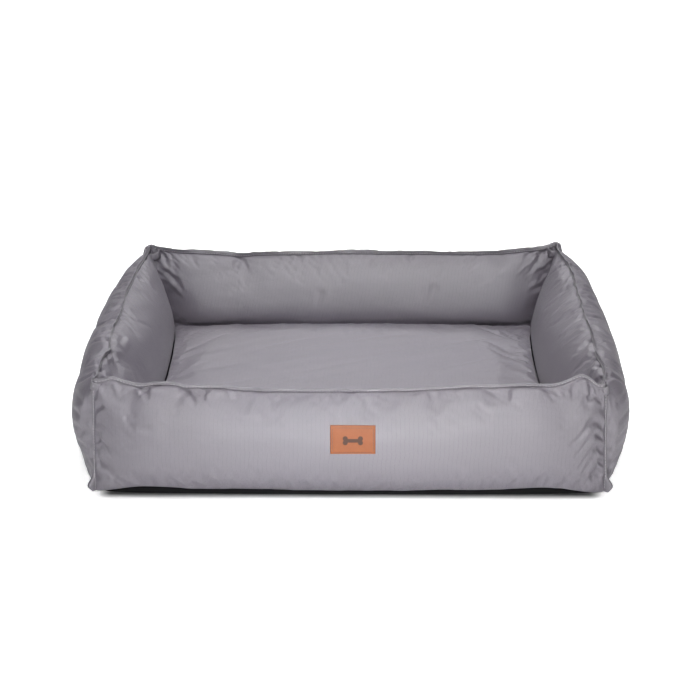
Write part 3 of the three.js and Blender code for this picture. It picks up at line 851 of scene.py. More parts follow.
class Nodes:
    """Short forms for building a material's nodes."""

    def __init__(self, name, roughness, **constants):
        self.material = bpy.data.materials.new(name)
        self.material.use_nodes = True
        self.nodes, self.links = self.material.node_tree.nodes, self.material.node_tree.links
        self.shader = self.nodes["Principled BSDF"]
        self.set(Roughness=roughness, **constants)

    def set(self, **constants):
        """Sets shader sockets to constants; an underscore stands for a space in their names."""
        for key, value in constants.items():
            self.shader.inputs[key.replace("_", " ")].default_value = value

    def add(self, kind, settings=None, **inputs):
        node = self.nodes.new(kind)
        for key, value in (settings or {}).items():
            setattr(node, key, value)
        for key, value in inputs.items():
            self.feed(node.inputs[key.replace("_", " ")], value)
        return node

    def feed(self, socket, value):
        if isinstance(value, bpy.types.NodeSocket):
            self.links.new(value, socket)
        else:
            socket.default_value = value

    def math(self, operation, *values, clamp=False):
        node = self.nodes.new("ShaderNodeMath")
        node.operation = operation
        node.use_clamp = clamp
        for socket, value in zip(node.inputs, values):
            self.feed(socket, value)
        return node.outputs[0]

    def mix(self, share, first, second):
        node = self.nodes.new("ShaderNodeMix")
        node.data_type = "RGBA"
        self.feed(node.inputs[0], share)
        self.feed(node.inputs[6], first)
        self.feed(node.inputs[7], second)
        return node.outputs[2]

    def noise(self, vector, scale, detail=3.0, roughness=0.5):
        node = self.add("ShaderNodeTexNoise", Vector=vector, Scale=scale, Detail=detail,
                        Roughness=roughness)
        return node.outputs["Fac"]

    def ramp(self, value, low_end, high_end, low_out=0.0, high_out=1.0):
        node = self.nodes.new("ShaderNodeMapRange")
        node.interpolation_type = "SMOOTHSTEP"
        for socket, number in zip(node.inputs[:5], (value, low_end, high_end, low_out, high_out)):
            self.feed(socket, number)
        return node.outputs[0]

    def bump(self, height, distance, strength=1.0, base=None):
        node = self.add("ShaderNodeBump", Height=height, Distance=distance, Strength=strength)
        if base is not None:
            self.links.new(base, node.inputs["Normal"])
        return node.outputs[0]

    def color(self, value):
        self.feed(self.shader.inputs["Base Color"], value)

    def normal(self, value):
        self.feed(self.shader.inputs["Normal"], value)

    def place(self):
        return self.nodes.new("ShaderNodeTexCoord").outputs["Object"]


def shade(tint, share=1):
    """An opaque colour, darker or lighter than a tint by a share."""
    return (*[c * share for c in tint], 1)


def grid_lines(n, coordinate, pitch, width):
    """1 on thin lines a pitch apart, 0 between them."""
    phase = n.math("FRACT", n.math("DIVIDE", coordinate, pitch))
    away = n.math("ABSOLUTE", n.math("SUBTRACT", phase, 0.5))
    return n.ramp(away, 0.5 - width / pitch, 0.5, 0.0, 1.0)


def ripstop(name, tint):
    """Fine plain weave with a thicker thread every few millimetres both ways."""
    n = Nodes(name, 0.62)
    uv = n.add("ShaderNodeUVMap", {"uv_map": "cloth"}).outputs[0]
    parts = n.nodes.new("ShaderNodeSeparateXYZ")
    n.feed(parts.inputs[0], uv)
    u, v = parts.outputs[0], parts.outputs[1]
    warp = grid_lines(n, u, RIPSTOP, 0.6 * MM)
    weft = grid_lines(n, v, RIPSTOP, 0.5 * MM)
    grid = n.math("MAXIMUM", warp, n.math("MULTIPLY", weft, 0.5))
    thread_u = n.math("SINE", n.math("MULTIPLY", u, 2 * math.pi / (0.62 * MM)))
    thread_v = n.math("SINE", n.math("MULTIPLY", v, 2 * math.pi / (0.62 * MM)))
    weave = n.math("MULTIPLY", thread_u, thread_v)
    place = n.place()
    cloud = n.noise(place, 9.0, 3.0)
    slub = n.noise(place, 900.0, 2.0, 0.7)
    base = n.mix(cloud, shade(tint, 0.93), shade(tint, 1.07))
    warm = (tint[0] * 1.04, tint[1], tint[2] * 0.92, 1)
    base = n.mix(n.ramp(n.noise(place, 3.1, 1.0), 0.35, 0.7, 0.0, 0.35), base, warm)
    base = n.mix(n.math("MULTIPLY", slub, 0.22), base, shade(tint, 0.7))
    # the thicker threads are painted lighter: partly the weave's own pattern, partly painted sheen on those
    # threads
    base = n.mix(n.math("MULTIPLY", grid, 0.42), base, shade(tint, 1.5))
    n.color(base)
    crumple = n.bump(n.noise(place, 55.0, 4.0, 0.55), 3.0 * MM, 0.15)
    crinkle = n.bump(n.noise(place, 190.0, 3.0, 0.6), 0.8 * MM, 0.3, crumple)
    lines = n.bump(grid, 0.2 * MM, 0.5, crinkle)
    n.normal(n.bump(weave, 0.12 * MM, 0.5, lines))
    n.set(Sheen_Weight=0.08, Sheen_Roughness=0.45, Sheen_Tint=(0.92, 0.9, 0.95, 1),
          Specular_IOR_Level=1.0, IOR=1.8)
    shine = n.math("ADD", n.math("MULTIPLY", warp, -0.24), n.math("MULTIPLY", weft, -0.1))
    n.feed(n.shader.inputs["Roughness"], n.math("ADD", shine, 0.5))
    return n.material


def cloth_look(name, tint, pitch, contrast=0.25, roughness=0.8, depth=0.3 * MM, sheen=0.15):
    """Plain woven or knitted cloth, without a pattern of its own."""
    n = Nodes(name, roughness)
    place = n.place()
    cells = n.add("ShaderNodeTexVoronoi", Vector=place, Scale=1 / pitch)
    fibre = n.noise(place, 0.6 / pitch, 4.0, 0.7)
    base = n.mix(n.math("MULTIPLY", fibre, contrast), shade(tint), shade(tint, 0.55))
    n.color(base)
    n.normal(n.bump(n.math("ADD", cells.outputs["Distance"], fibre), depth, 0.6))
    n.set(Sheen_Weight=sheen, Specular_IOR_Level=2 * sheen)
    return n.material


def leather():
    """Orange-tan leather whose pressed lines and edges are darker."""
    n = Nodes("tan_leather", 0.5)
    place = n.place()
    grain = n.add("ShaderNodeTexVoronoi", {"feature": "DISTANCE_TO_EDGE"}, Vector=place, Scale=1500.0)
    cracks = n.ramp(grain.outputs["Distance"], 0.0, 0.25)
    blotch = n.noise(place, 90.0, 4.0, 0.6)
    base = n.mix(blotch, (0.25, 0.068, 0.018, 1), (0.31, 0.1, 0.032, 1))
    base = n.mix(n.ramp(n.noise(place, 700.0, 2.0), 0.45, 0.75, 0.0, 0.3), base, (0.29, 0.082, 0.022, 1))
    pressed = n.add("ShaderNodeAttribute", {"attribute_name": "pressed"}).outputs["Fac"]
    worn = n.add("ShaderNodeAttribute", {"attribute_name": "edge"}).outputs["Fac"]
    base = n.mix(n.math("MULTIPLY", worn, 0.55), base, (0.18, 0.055, 0.018, 1))
    base = n.mix(pressed, base, (0.035, 0.014, 0.008, 1))
    n.color(base)
    fine = n.bump(cracks, 0.06 * MM, 0.5)
    n.normal(n.bump(blotch, 0.4 * MM, 0.25, fine))
    return n.material


def thread_look(name, tint):
    """Twisted thread: fine slanting stripes, painted darker in their grooves as shade."""
    n = Nodes(name, 0.55)
    place = n.place()
    wave = n.add("ShaderNodeTexWave", {"bands_direction": "DIAGONAL"}, Vector=place, Scale=900.0,
                 Distortion=1.0)
    # painted shade: the stripes darken where the bump dips, in the grooves between twists
    n.color(n.mix(wave.outputs["Fac"], shade(tint, 0.72), shade(tint)))
    n.normal(n.bump(wave.outputs["Fac"], 0.08 * MM, 0.6))
    n.set(Sheen_Weight=0.2)
    return n.material


def metal():
    """Cast zip metal, a little scuffed."""
    n = Nodes("zip_metal", 0.32, Metallic=1.0)
    place = n.place()
    scuff = n.noise(place, 600.0, 4.0, 0.65)
    n.color(n.mix(scuff, (0.36, 0.36, 0.37, 1), (0.6, 0.6, 0.62, 1)))
    n.feed(n.shader.inputs["Roughness"], n.ramp(scuff, 0.3, 0.7, 0.24, 0.44))
    n.normal(n.bump(scuff, 0.05 * MM, 0.3))
    return n.material


def foam():
    """Open-cell foam, cream with small pores that are painted darker in their dips, as shade."""
    n = Nodes("foam", 0.9)
    place = n.place()
    pores = n.add("ShaderNodeTexVoronoi", Vector=place, Scale=700.0)
    # painted shade: the colour darkens towards each pore's middle, where the bump dips
    n.color(n.mix(pores.outputs["Distance"], (0.62, 0.54, 0.36, 1), (0.86, 0.79, 0.58, 1)))
    n.normal(n.bump(pores.outputs["Distance"], 0.5 * MM, 0.7))
    return n.material


def all_looks():
    grey = (0.122, 0.107, 0.138)
    return {
        "ripstop": ripstop("grey_ripstop", grey),
        # painted shade: the same ripstop a fifth darker, for the folded seams, corner ears and mattress
        # piping
        "ripstop_painted_shade": ripstop("grey_ripstop_painted_shade", shade(grey, 0.8)[:3]),
        "non_slip": cloth_look("black_non_slip", (0.011, 0.011, 0.012), 1.2 * MM, 0.5, 0.9, sheen=0.02),
        "rubber": cloth_look("black_rubber", (0.02, 0.02, 0.022), 0.7 * MM, 0.3, 0.5, 0.1 * MM),
        "fibre": cloth_look("fibre_ticking", (0.8, 0.79, 0.77), 0.8 * MM, 0.2),
        "zip_tape": cloth_look("zip_tape", (0.19, 0.175, 0.195), 0.6 * MM, 0.4),
        "zip_coil": thread_look("zip_coil", (0.17, 0.16, 0.18)),
        "seam_thread": thread_look("seam_thread", (0.62, 0.6, 0.63)),
        "label_thread": thread_look("label_thread", (0.13, 0.05, 0.025)),
        "leather": leather(),
        "metal": metal(),
        "foam": foam(),
    }


# ---------------------------------------------------------------- label

LABEL_STEP = 0.5 * MM  # grid size of the leather
BORDER_INSET = 3.1 * MM  # from the label's edge to its stitched border


def bone(x, y):
    """Distance to the outline of a plain bone, negative inside it. Its middle is at 0, 0."""
    half, waist, knob = 9.5 * MM, 2.6 * MM, 3.6 * MM
    shaft = np.hypot(np.maximum(np.abs(x) - half, 0), y) - waist
    knobs = np.hypot(np.abs(x) - half - 1.4 * MM, np.abs(y) - 2.9 * MM) - knob
    return np.minimum(shaft, knobs)


def cloth_behind(x, z):
    """Where the front wall's cloth lies behind each place of a grid."""
    front_cloth = bpy.data.objects["front_outer_cloth"]
    tree = BVHTree.FromObject(front_cloth, bpy.context.evaluated_depsgraph_get())
    inward = Vector((0, 1, 0))
    return np.array([[tree.ray_cast(Vector((a, -1, b)), inward)[0][1] for a in x] for b in z])


def label():
    """Leather patch that lies on the front wall, with a pressed bone and a stitched border."""
    low_corner, high_corner = low("label_patch"), high("label_patch")
    x, z = (np.arange(low_corner[k], high_corner[k] + LABEL_STEP / 2, LABEL_STEP) for k in (0, 2))
    fitted = smooth_fit(x[::8], z[::8], cloth_behind(x[::8], z[::8]), x, z)
    xx, zz = np.meshgrid(x, z)
    middle = (low_corner + high_corner) / 2
    inside = np.minimum.reduce([xx - x[0], x[-1] - xx, zz - z[0], z[-1] - zz])
    mark = bone(xx - middle[0], zz - middle[2])
    pressed = smoothstep(0.5 - mark / (0.5 * MM))
    line = smoothstep(1 - np.abs(inside - BORDER_INSET) / (0.6 * MM))
    thick = 1.5 * MM - 0.9 * MM * np.exp(-inside / (0.5 * MM)) - 0.3 * MM * pressed - 0.3 * MM * line
    front = np.stack([xx, fitted - 0.2 * MM - thick, zz], -1)
    back = np.stack([xx, fitted - 0.1 * MM, zz], -1)
    points = np.concatenate([front.reshape(-1, 3), back.reshape(-1, 3)])
    rows, columns = xx.shape
    count = rows * columns
    faces = grid_faces(rows, columns)
    faces += [[i + count for i in face[::-1]] for face in faces]
    rim = edge_of(np.arange(count).reshape(rows, columns))
    after = np.roll(rim, -1)
    faces += np.stack([after, rim, rim + count, after + count], -1).tolist()
    piece = make_mesh("leather_label", points, faces)
    sunk = np.concatenate([0.9 * pressed.ravel(), np.zeros(count)])
    edge = np.concatenate([np.exp(-inside / (0.6 * MM)).ravel(), np.ones(count)])
    for attribute_name, values in (("pressed", sunk), ("edge", edge)):
        attribute = piece.data.attributes.new(attribute_name, "FLOAT", "POINT")
        attribute.data.foreach_set("value", values.astype(np.float32))
    finish_piece(piece, "bed", looks["leather"], ["label_patch"])
    label_border(x, z, fitted)


def smooth_fit(x, z, depth, fine_x, fine_z):
    """Leather is stiffer than the cloth under it, so it follows only a quadratic fit of it."""
    def terms(a, b):
        a, b = a / (30 * MM), (b - z.mean()) / (30 * MM)
        return np.stack([np.ones_like(a), a, b, a * a, a * b, b * b, b ** 3], -1)

    xx, zz = np.meshgrid(x - x.mean(), z)
    known = terms(xx.ravel(), zz.ravel())
    solution = np.linalg.lstsq(known, depth.ravel(), rcond=None)[0]
    wide = depth.ravel() - known @ solution
    fx, fz = np.meshgrid(fine_x - x.mean(), fine_z)
    return (terms(fx.ravel(), fz.ravel()) @ solution).reshape(fx.shape) + min(0.0, float(wide.min())) * 0.6


def label_border(x, z, fitted):
    """Dark stitches all round the label, a little in from its edge."""
    left, right = x[0] + BORDER_INSET, x[-1] - BORDER_INSET
    bottom, top = z[0] + BORDER_INSET, z[-1] - BORDER_INSET
    corners = [(left, bottom), (right, bottom), (right, top), (left, top)]
    rows = []
    for k in range(4):
        start, end = np.array(corners[k]), np.array(corners[(k + 1) % 4])
        way = np.linspace(0, 1, 60)[:, None]
        flat = start + (end - start) * way
        column = np.clip(np.round((flat[:, 0] - x[0]) / LABEL_STEP).astype(int), 0, len(x) - 1)
        row = np.clip(np.round((flat[:, 1] - z[0]) / LABEL_STEP).astype(int), 0, len(z) - 1)
        line = np.stack([flat[:, 0], fitted[row, column] - 1.55 * MM, flat[:, 1]], -1)
        rows.append(stitches(line, np.zeros_like(line) + (0, -1, 0), 2.6 * MM, 2.2 * MM, 0.36 * MM))
    thread = make_mesh("label_border_stitches", *join_parts(rows))
    finish_piece(thread, "bed", looks["label_thread"], ["label_stitching"])


# ---------------------------------------------------------------- mattress

MATTRESS_LOW = low("mattress_bottom_panel")[2]
MATTRESS_TOP = high("mattress_top_panel")[2]
SEAM_Z = MATTRESS_TOP - 9 * MM  # sewn edge of the top
WALL_CLEAR = 0.4 * MM


def well(along_x):
    """How far the mattress can reach towards a pair of walls: places across, and reach at each."""
    reaches = []
    for name in (("left", "right") if along_x else ("front", "back")):
        grid = faces_of[name, "inner"][2:-2]
        out, across = (0, 1) if along_x else (1, 0)
        reach = np.where(grid[..., 2] > SEAM_Z - 12 * MM, np.abs(grid[..., out]), 1)
        best = reach.argmin(0)
        columns = np.arange(grid.shape[1])
        place = grid[best, columns, across]
        order = np.argsort(place)
        reaches.append((place[order], reach[best, columns][order] - WALL_CLEAR))
    return reaches


def mattress_outline(u, v):
    """Points of the mattress seen from above for u and v from -1 to 1."""
    sides, ends = well(True), well(False)
    half_x, half_y = RIDGE_X + FOOT_IN, RIDGE_Y + FOOT_IN
    x, y = u * half_x, v * half_y
    for _ in range(6):
        reach_x = np.where(u < 0, np.interp(y, *sides[0]), np.interp(y, *sides[1]))
        reach_y = np.where(v < 0, np.interp(x, *ends[0]), np.interp(x, *ends[1]))
        limit_x, limit_y = half_x - 2 * MM, half_y - 2 * MM
        x = u * np.minimum(reach_x, limit_x)
        y = v * np.minimum(reach_y, limit_y)
    pull = 1 - 0.035 * np.abs(u) ** 14 * np.abs(v) ** 14  # rounds the four corners
    return x * pull, y * pull


def mattress_crown(u, v):
    """The mattress's top before it is filled, and how far each point is from its edge."""
    x, y = mattress_outline(u, v)
    from_edge = np.minimum((1 - np.abs(u)) * RIDGE_X, (1 - np.abs(v)) * RIDGE_Y)
    droop = np.exp(-(1 - np.abs(u)) / 0.2 - (1 - np.abs(v)) / 0.22)
    z = SEAM_Z - 3 * MM * np.abs(v) ** 6 - 14 * MM * droop
    z = z + (MATTRESS_TOP - SEAM_Z) * (1 - np.exp(-from_edge / (18 * MM)))
    z = z + 2.5 * MM * (1 - u ** 2) * (1 - v ** 2)
    return np.stack([x, y, z], -1), from_edge


def mattress_cloth():
    """The cover's top and its side strip as grids of points, filled and wrinkled."""
    columns = int(2 * RIDGE_X / CELL) - 12
    rows = int(2 * RIDGE_Y / CELL) - 12
    top, from_edge = mattress_crown(*np.meshgrid(np.linspace(-1, 1, columns), np.linspace(-1, 1, rows)))
    rim = edge_of(np.arange(rows * columns).reshape(rows, columns))
    border = top.reshape(-1, 3)[rim]
    side = np.stack([border] * 6)  # rings of points from the sewn edge down
    side[..., 2] += (MATTRESS_LOW - border[:, 2]) * np.linspace(0, 1, len(side))[:, None]
    fill_mattress(top, side, rim, from_edge)
    return top, side


def fill_mattress(top, side, rim, from_edge):
    """Inflates the mattress's cloth in place: only its top moves, and not past its outline."""
    points = np.concatenate([top.reshape(-1, 3), side[1:].reshape(-1, 3)])
    faces = grid_faces(*top.shape[:2])
    start, count = from_edge.size, len(rim)
    rings = [rim] + [start + k * count + np.arange(count) for k in range(len(side) - 1)]
    for upper, lower in zip(rings[:-1], rings[1:]):
        faces += band(upper, lower)
    pins = np.zeros(len(points))
    pins[rim] = 1
    pins[start:] = 1
    weight = 0.40 - 0.36 * np.exp(-from_edge.ravel() / (16 * MM))
    shrink = np.concatenate([weight, np.full(len(points) - start, 0.4)])
    shrink[rim] = 0.9
    filled = simulate(points, faces, pins, shrink, frames=16, pressure=0.5, grow=0.03, shrink_most=0.03)
    filled = cap_move(points, filled, 7 * MM)
    limit = np.abs(points[:, :2]) + 0.3 * MM
    filled[:, :2] = np.clip(filled[:, :2], -limit, limit)
    top[:] = filled[:start].reshape(top.shape)
    side[0] = filled[rim]
    side[1:] = filled[start:].reshape(side[1:].shape)


def diagonal_folds(grid):
    """Long soft wrinkles across the mattress's top, from its near left to its far right."""
    x, y = grid[..., 0], grid[..., 1]
    across = (y - 0.42 * x) / (34 * MM)
    along = (x + 0.42 * y) / (210 * MM)
    wave = noise2(across, along, 700, 3)
    valley = np.exp(-(noise2(across * 0.8, along, 720, 1) / 0.12) ** 2)
    return 0.8 * MM * wave - 0.5 * MM * valley


def mattress_zip_window(points):
    """Where the side strip leaves room for its zip."""
    bottom, top = low("mattress_zip_tape_lower") - ZIP_ROOM, high("mattress_zip_tape_upper") + ZIP_ROOM
    return ((points[:, 0] > RIDGE_X / 2) & (np.abs(points[:, 1]) < top[1])
            & (points[:, 2] > bottom[2]) & (points[:, 2] < top[2]))


def mattress():
    top, side = mattress_cloth()
    top = finer(top)
    run_x, run_y = lengths(top, 1), lengths(top, 0)
    from_side = np.minimum(run_x, run_x[:, -1:] - run_x)
    from_end = np.minimum(run_y, run_y[-1:] - run_y)
    inside = np.minimum(from_side, from_end)
    small = (puckers(top[..., 0], from_end, 20 * MM, 12 * MM, 0.5 * MM, 740)
             + puckers(top[..., 1], from_side, 20 * MM, 12 * MM, 0.5 * MM, 750))
    top[..., 2] += (diagonal_folds(top) * smoothstep(inside / (12 * MM))
                    + small * smoothstep(inside / (4 * MM)))
    ripstop_panel("mattress_top_cloth", top, "mattress", "mattress_top_panel")
    ring = finer(np.concatenate([side, side[:, :1]], 1), 1)[::-1]
    ripstop_panel("mattress_side_cloth", ring, "mattress", "mattress_boxing",
                  mattress_zip_window)
    mattress_bottom(side[-1])
    mattress_seam(top)
    mattress_fillings(top)


def mattress_bottom(rim):
    middle = rim.mean(0)
    shares = np.array([1, 0.995, 0.97, 0.9, 0.75, 0.5, 0.25, 0.03])  # of the way from the middle to the rim
    rings = middle + (rim[None] - middle) * shares[:, None, None]
    rings[..., 2] = MATTRESS_LOW + 0.1 * MM
    faces = grid_faces(len(shares), len(rim), wrap_columns=True)
    faces.append(list(range((len(shares) - 1) * len(rim), len(shares) * len(rim))))
    faces = [face[::-1] for face in faces]
    piece = make_mesh("mattress_bottom_cloth", rings, faces, rings[..., :2])
    thicken(piece, CLOTH)
    finish_piece(piece, "mattress", looks["ripstop"], ["mattress_bottom_panel"])


def mattress_seam(top):
    """Narrow piping along the sewn edge of the mattress's top."""
    rim = edge_of(top)
    rim[:, 2] += 0.2 * MM
    ahead = unit(np.roll(rim, -1, 0) - np.roll(rim, 1, 0))
    side = unit(np.cross(ahead, (0, 0, 1)))
    radius = 0.9 * MM
    ring = tube_rings(rim - side * radius, side, np.zeros_like(rim) + (0, 0, 1), radius, 8)
    piece = grid_piece("mattress_edge_piping", ring, fin_uv(ring), wrap_rows=True, wrap_columns=True)
    finish_piece(piece, "mattress", looks["ripstop_painted_shade"])


def block(name, layers):
    """A closed soft block through grids of points, lowest first. Only the first and last are filled."""
    rows, columns = layers[0].shape[:2]
    count = rows * columns
    rim = edge_of(np.arange(count).reshape(rows, columns))
    rings = [layer.reshape(-1, 3)[rim] for layer in layers[1:-1]]
    points = np.concatenate([layers[0].reshape(-1, 3), layers[-1].reshape(-1, 3), *rings])
    faces = [face[::-1] for face in grid_faces(rows, columns)] + grid_faces(rows, columns, start=count)
    between = [2 * count + len(rim) * k + np.arange(len(rim)) for k in range(len(rings))]
    steps = [rim, *between, rim + count]
    for lower, upper in zip(steps[:-1], steps[1:]):
        faces += band(upper, lower)
    piece = make_mesh(name, points, faces)
    drop_loose(piece)
    return piece


def mattress_layer(top, inset, drop, most):
    """The mattress's top drawn in by inset and lowered by drop, short of the zip puller and below most."""
    layer = top[::4, ::4].copy()
    layer[..., :2] *= 1 - inset / np.array([RIDGE_X, RIDGE_Y])
    layer[..., 0] = np.minimum(layer[..., 0], low("mattress_zip_puller")[0] - 1 * MM)
    layer[..., 2] = np.minimum(layer[..., 2] - drop, most)
    return layer


def mattress_fillings(top):
    foam_top, foam_bottom = high("mattress_foam_core")[2] - 4 * MM, low("mattress_foam_core")[2]
    upper = mattress_layer(top, 9 * MM, 8 * MM, foam_top)
    middle = mattress_layer(top, 5 * MM, 11 * MM, foam_top - 3 * MM)
    lower = mattress_layer(top, 7 * MM, 0, foam_bottom)
    core = block("mattress_foam_block", [lower, middle, upper])
    finish_piece(core, "mattress", looks["foam"], ["mattress_foam_core"])
    upper = mattress_layer(top, 12 * MM, 4.5 * MM, 1)
    middle = mattress_layer(top, 8 * MM, 6 * MM, 1)
    lower = mattress_layer(top, 10 * MM, 7.5 * MM, foam_top + 0.6 * MM)
    topper = block("mattress_topper_pad", [lower, middle, upper])
    finish_piece(topper, "mattress", looks["fibre"], ["mattress_fibre_topper"])


# ---------------------------------------------------------------- zips


def softened(node, name, body, width):
    """A copy of a small hard CAD piece with its edges rounded, which is shown in its place."""
    mesh = bmesh.new()
    mesh.from_mesh(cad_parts[node].data)
    bmesh.ops.remove_doubles(mesh, verts=mesh.verts, dist=0.01 * MM)
    bmesh.ops.dissolve_limit(mesh, angle_limit=math.radians(2), verts=mesh.verts, edges=mesh.edges)
    sharp = [e for e in mesh.edges if len(e.link_faces) == 2 and e.calc_face_angle() > math.radians(25)]
    bmesh.ops.bevel(mesh, geom=sharp, offset=width, segments=2, profile=0.6, affect="EDGES",
                    clamp_overlap=True)
    data = bpy.data.meshes.new(name)
    mesh.to_mesh(data)
    mesh.free()
    piece = bpy.data.objects.new(name, data)
    bpy.context.scene.collection.objects.link(piece)
    return finish_piece(piece, body, looks["metal"], [node])


def zip_tape(node, name, body):
    """Woven tape, slightly rippled."""
    start, end = low(node), high(node)
    long_axis = int(np.argmax(end - start))
    thin_axis = 1 - long_axis
    along = np.linspace(start[long_axis], end[long_axis], int((end - start)[long_axis] / (2 * MM)))
    up = np.linspace(start[2], end[2], 9)
    a, z = np.meshgrid(along, up)
    points = np.empty(a.shape + (3,))
    points[..., long_axis] = a
    ripple = 0.12 * MM * noise2(a / (30 * MM), z / (9 * MM), 800)
    points[..., thin_axis] = (start[thin_axis] + end[thin_axis]) / 2 + ripple
    points[..., 2] = z
    uv = np.stack([a, z], -1)
    piece = grid_piece(name, points, uv)
    thicken(piece, 0.5 * MM, 0)
    finish_piece(piece, body, looks["zip_tape"], [node])


def zip_coil(node, name, body):
    """Two interlocked nylon coils: one flattened spiral above the middle of the zip and one below."""
    start, end = low(node), high(node)
    long_axis = int(np.argmax(end - start))
    thin_axis = 1 - long_axis
    middle = (start + end) / 2
    pitch, wire, per_turn, sides = 1.5 * MM, 0.3 * MM, 10, 6
    count = int((end - start)[long_axis] / pitch) * per_turn
    t = np.linspace(0, 1, count)
    turn = 2 * math.pi * np.arange(count) / per_turn
    parts = []
    for sign in (-1, 1):
        line = np.empty((count, 3))
        line[:, long_axis] = start[long_axis] + 0.5 * MM + ((end - start)[long_axis] - 1 * MM) * t
        line[:, thin_axis] = middle[thin_axis] + 0.75 * MM * np.sin(turn)
        line[:, 2] = middle[2] + sign * (0.8 * MM + 1.25 * MM * np.cos(turn + (0 if sign > 0 else math.pi)))
        ahead = unit(np.gradient(line, axis=0))
        side = unit(np.cross(ahead, (0.3, 0.2, 0.93)))
        up = np.cross(side, ahead)
        parts.append((tube_rings(line, side, up, wire, sides), tube_faces(count, sides)))
    piece = make_mesh(name, *join_parts(parts))
    finish_piece(piece, body, looks["zip_coil"], [node])


def zips():
    for name, body in (("front_zip", "bed"), ("back_zip", "bed"), ("mattress_zip", "mattress")):
        zip_coil(f"{name}_coil", f"{name}_coil_teeth", body)
        zip_tape(f"{name}_tape_lower", f"{name}_lower_tape_cloth", body)
        zip_tape(f"{name}_tape_upper", f"{name}_upper_tape_cloth", body)
        softened(f"{name}_start_stop", f"{name}_start_stop_clip", body, 0.2 * MM)
        softened(f"{name}_end_stop", f"{name}_end_stop_clip", body, 0.2 * MM)
        softened(f"{name}_slider", f"{name}_slider_body", f"{name}_slider", 0.25 * MM)
        softened(f"{name}_puller", f"{name}_puller_tab", f"{name}_puller", 0.15 * MM)


# ---------------------------------------------------------------- stage


def camera():
    data = bpy.data.cameras.new("camera")
    data.sensor_width = 36
    data.lens = 64.3
    place = (0.022, -1.892, 0.987)
    aside, down, rolled = 0.74, 25.17, -0.25  # degrees
    obj = bpy.data.objects.new("camera", data)
    turn = (Matrix.Rotation(math.radians(aside), 4, "Z")
            @ Matrix.Rotation(math.radians(90 - down), 4, "X")
            @ Matrix.Rotation(math.radians(rolled), 4, "Z"))
    obj.matrix_world = Matrix.Translation(place) @ turn
    bpy.context.scene.collection.objects.link(obj)
    bpy.context.scene.camera = obj


def area_light(name, place, size, power, spread=180):
    """A soft lamp at a place, turned to the middle of the bed. spread is in degrees."""
    data = bpy.data.lights.new(name, "AREA")
    data.shape = "RECTANGLE"
    data.size, data.size_y = size
    data.energy = power
    data.spread = math.radians(spread)
    lamp = bpy.data.objects.new(name, data)
    lamp.visible_camera = False
    turn = (-Vector(place)).to_track_quat("-Z", "Y").to_matrix().to_4x4()
    lamp.matrix_world = Matrix.Translation(place) @ turn
    bpy.context.scene.collection.objects.link(lamp)


def lamps():
    area_light("front_softbox", (0.15, -2.5, 1.7), (0.8, 0.5), 31)
    area_light("front_spot", (0.1, -2.2, 1.6), (0.3, 0.3), 0.75, 26)
    area_light("front_card", (0.05, -0.9, 0.06), (0.8, 0.12), 1.7)
    area_light("top_softbox", (0, -0.1, 2.3), (0.9, 1.4), 32)
    area_light("back_softbox", (0, 1.8, 2.0), (1.2, 1.0), 25)


def studio_world():
    """A dim, nearly even glow all round the floor."""
    world = bpy.data.worlds.new("studio")
    world.use_nodes = True
    nodes, links = world.node_tree.nodes, world.node_tree.links
    background = nodes["Background"]
    parts = nodes.new("ShaderNodeSeparateXYZ")
    links.new(nodes.new("ShaderNodeTexCoord").outputs["Generated"], parts.inputs[0])
    height = nodes.new("ShaderNodeMapRange")
    height.interpolation_type = "SMOOTHSTEP"
    links.new(parts.outputs[2], height.inputs[0])
    for socket, value in zip(height.inputs[1:5], (0.1, 0.7, 0.045, 0.04)):
        socket.default_value = value
    links.new(height.outputs[0], background.inputs["Strength"])
    bpy.context.scene.world = world


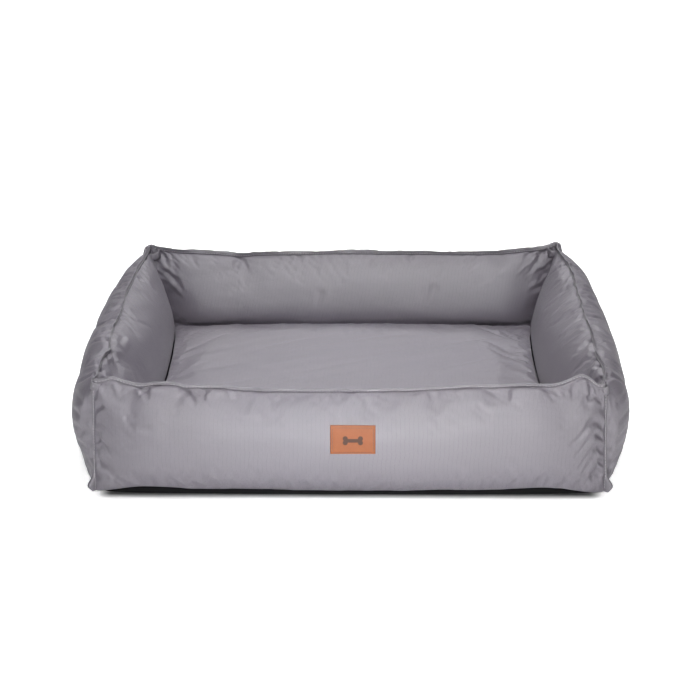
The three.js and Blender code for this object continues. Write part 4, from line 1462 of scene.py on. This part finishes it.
def stage():
    """A white sweep that glows for the camera, with a contact shadow painted into its colour and glow where
    the front edge stands on it.
    """
    half = 8
    # the floor's section, front to back, as (y, z): it curves up into a wall
    sweep = np.array([(-half, 0), (4, 0), (5, 0.12), (5.9, 0.6), (6.4, 1.6), (6.5, 5)])
    points = np.array([[(x, y, z) for x in (-half, half)] for y, z in sweep])
    floor = grid_piece("floor", points[:, ::-1])
    n = Nodes("floor_white", 0.95)
    parts = n.nodes.new("ShaderNodeSeparateXYZ")
    n.feed(parts.inputs[0], n.place())
    # painted contact shadow: under the bed's front, and for 22 mm in front of the base's front edge, between
    # the bed's sides
    edge = low("base_sheet")[1] + BASE_SETBACK["front"]
    before = n.ramp(parts.outputs[1], edge - 22 * MM, edge, 0.0, 1.0)
    between = n.ramp(n.math("ABSOLUTE", parts.outputs[0]), RIDGE_X - 20 * MM, RIDGE_X + 15 * MM, 1.0, 0.0)
    near = n.math("MULTIPLY", before, between)
    near = n.math("MULTIPLY", near, n.ramp(parts.outputs[1], 0.1, 0.2, 1.0, 0.0))
    paper = n.mix(n.noise(n.place(), 0.4), (0.9, 0.9, 0.9, 1), (0.92, 0.92, 0.92, 1))
    # the painted contact shadow turns the floor's colour near-black there
    n.color(n.mix(n.math("MULTIPLY", near, 0.94), paper, (0.05, 0.05, 0.05, 1)))
    square = n.math("ADD", n.math("MULTIPLY", parts.outputs[0], parts.outputs[0]),
                    n.math("MULTIPLY", parts.outputs[1], parts.outputs[1]))
    n.set(Emission_Color=(1, 1, 1, 1))
    seen = n.ramp(n.add("ShaderNodeLightPath").outputs["Is Camera Ray"], 0.0, 1.0, 0.25, 1.0)
    glow = n.ramp(n.math("SQRT", square), 0.5, 4.0, 0.62, 1.05)
    # the painted contact shadow cuts the floor's glow as well
    glow = n.math("MULTIPLY", glow, n.math("SUBTRACT", 1.0, near))
    n.feed(n.shader.inputs["Emission Strength"], n.math("MULTIPLY", glow, seen))
    floor.data.materials.append(n.material)
    studio_world()
    lamps()
    bpy.context.scene.view_settings.view_transform = "Standard"


# ---------------------------------------------------------------- build

camera()
walls = {name: Wall(name, turn) for turn, name in enumerate(WALLS)}
looks = all_looks()
cloth = wall_cloth()
faces_of = wall_faces()
for wall_name, bed_wall in walls.items():
    bolster_pillow(bed_wall)
    panel(wall_name, "outer")
    panel(wall_name, "inner")
    ridge(bed_wall)
for corner_index in range(4):
    corner(corner_index)
ears()
base()
grip_dots()
label()
mattress()
zips()
stage()
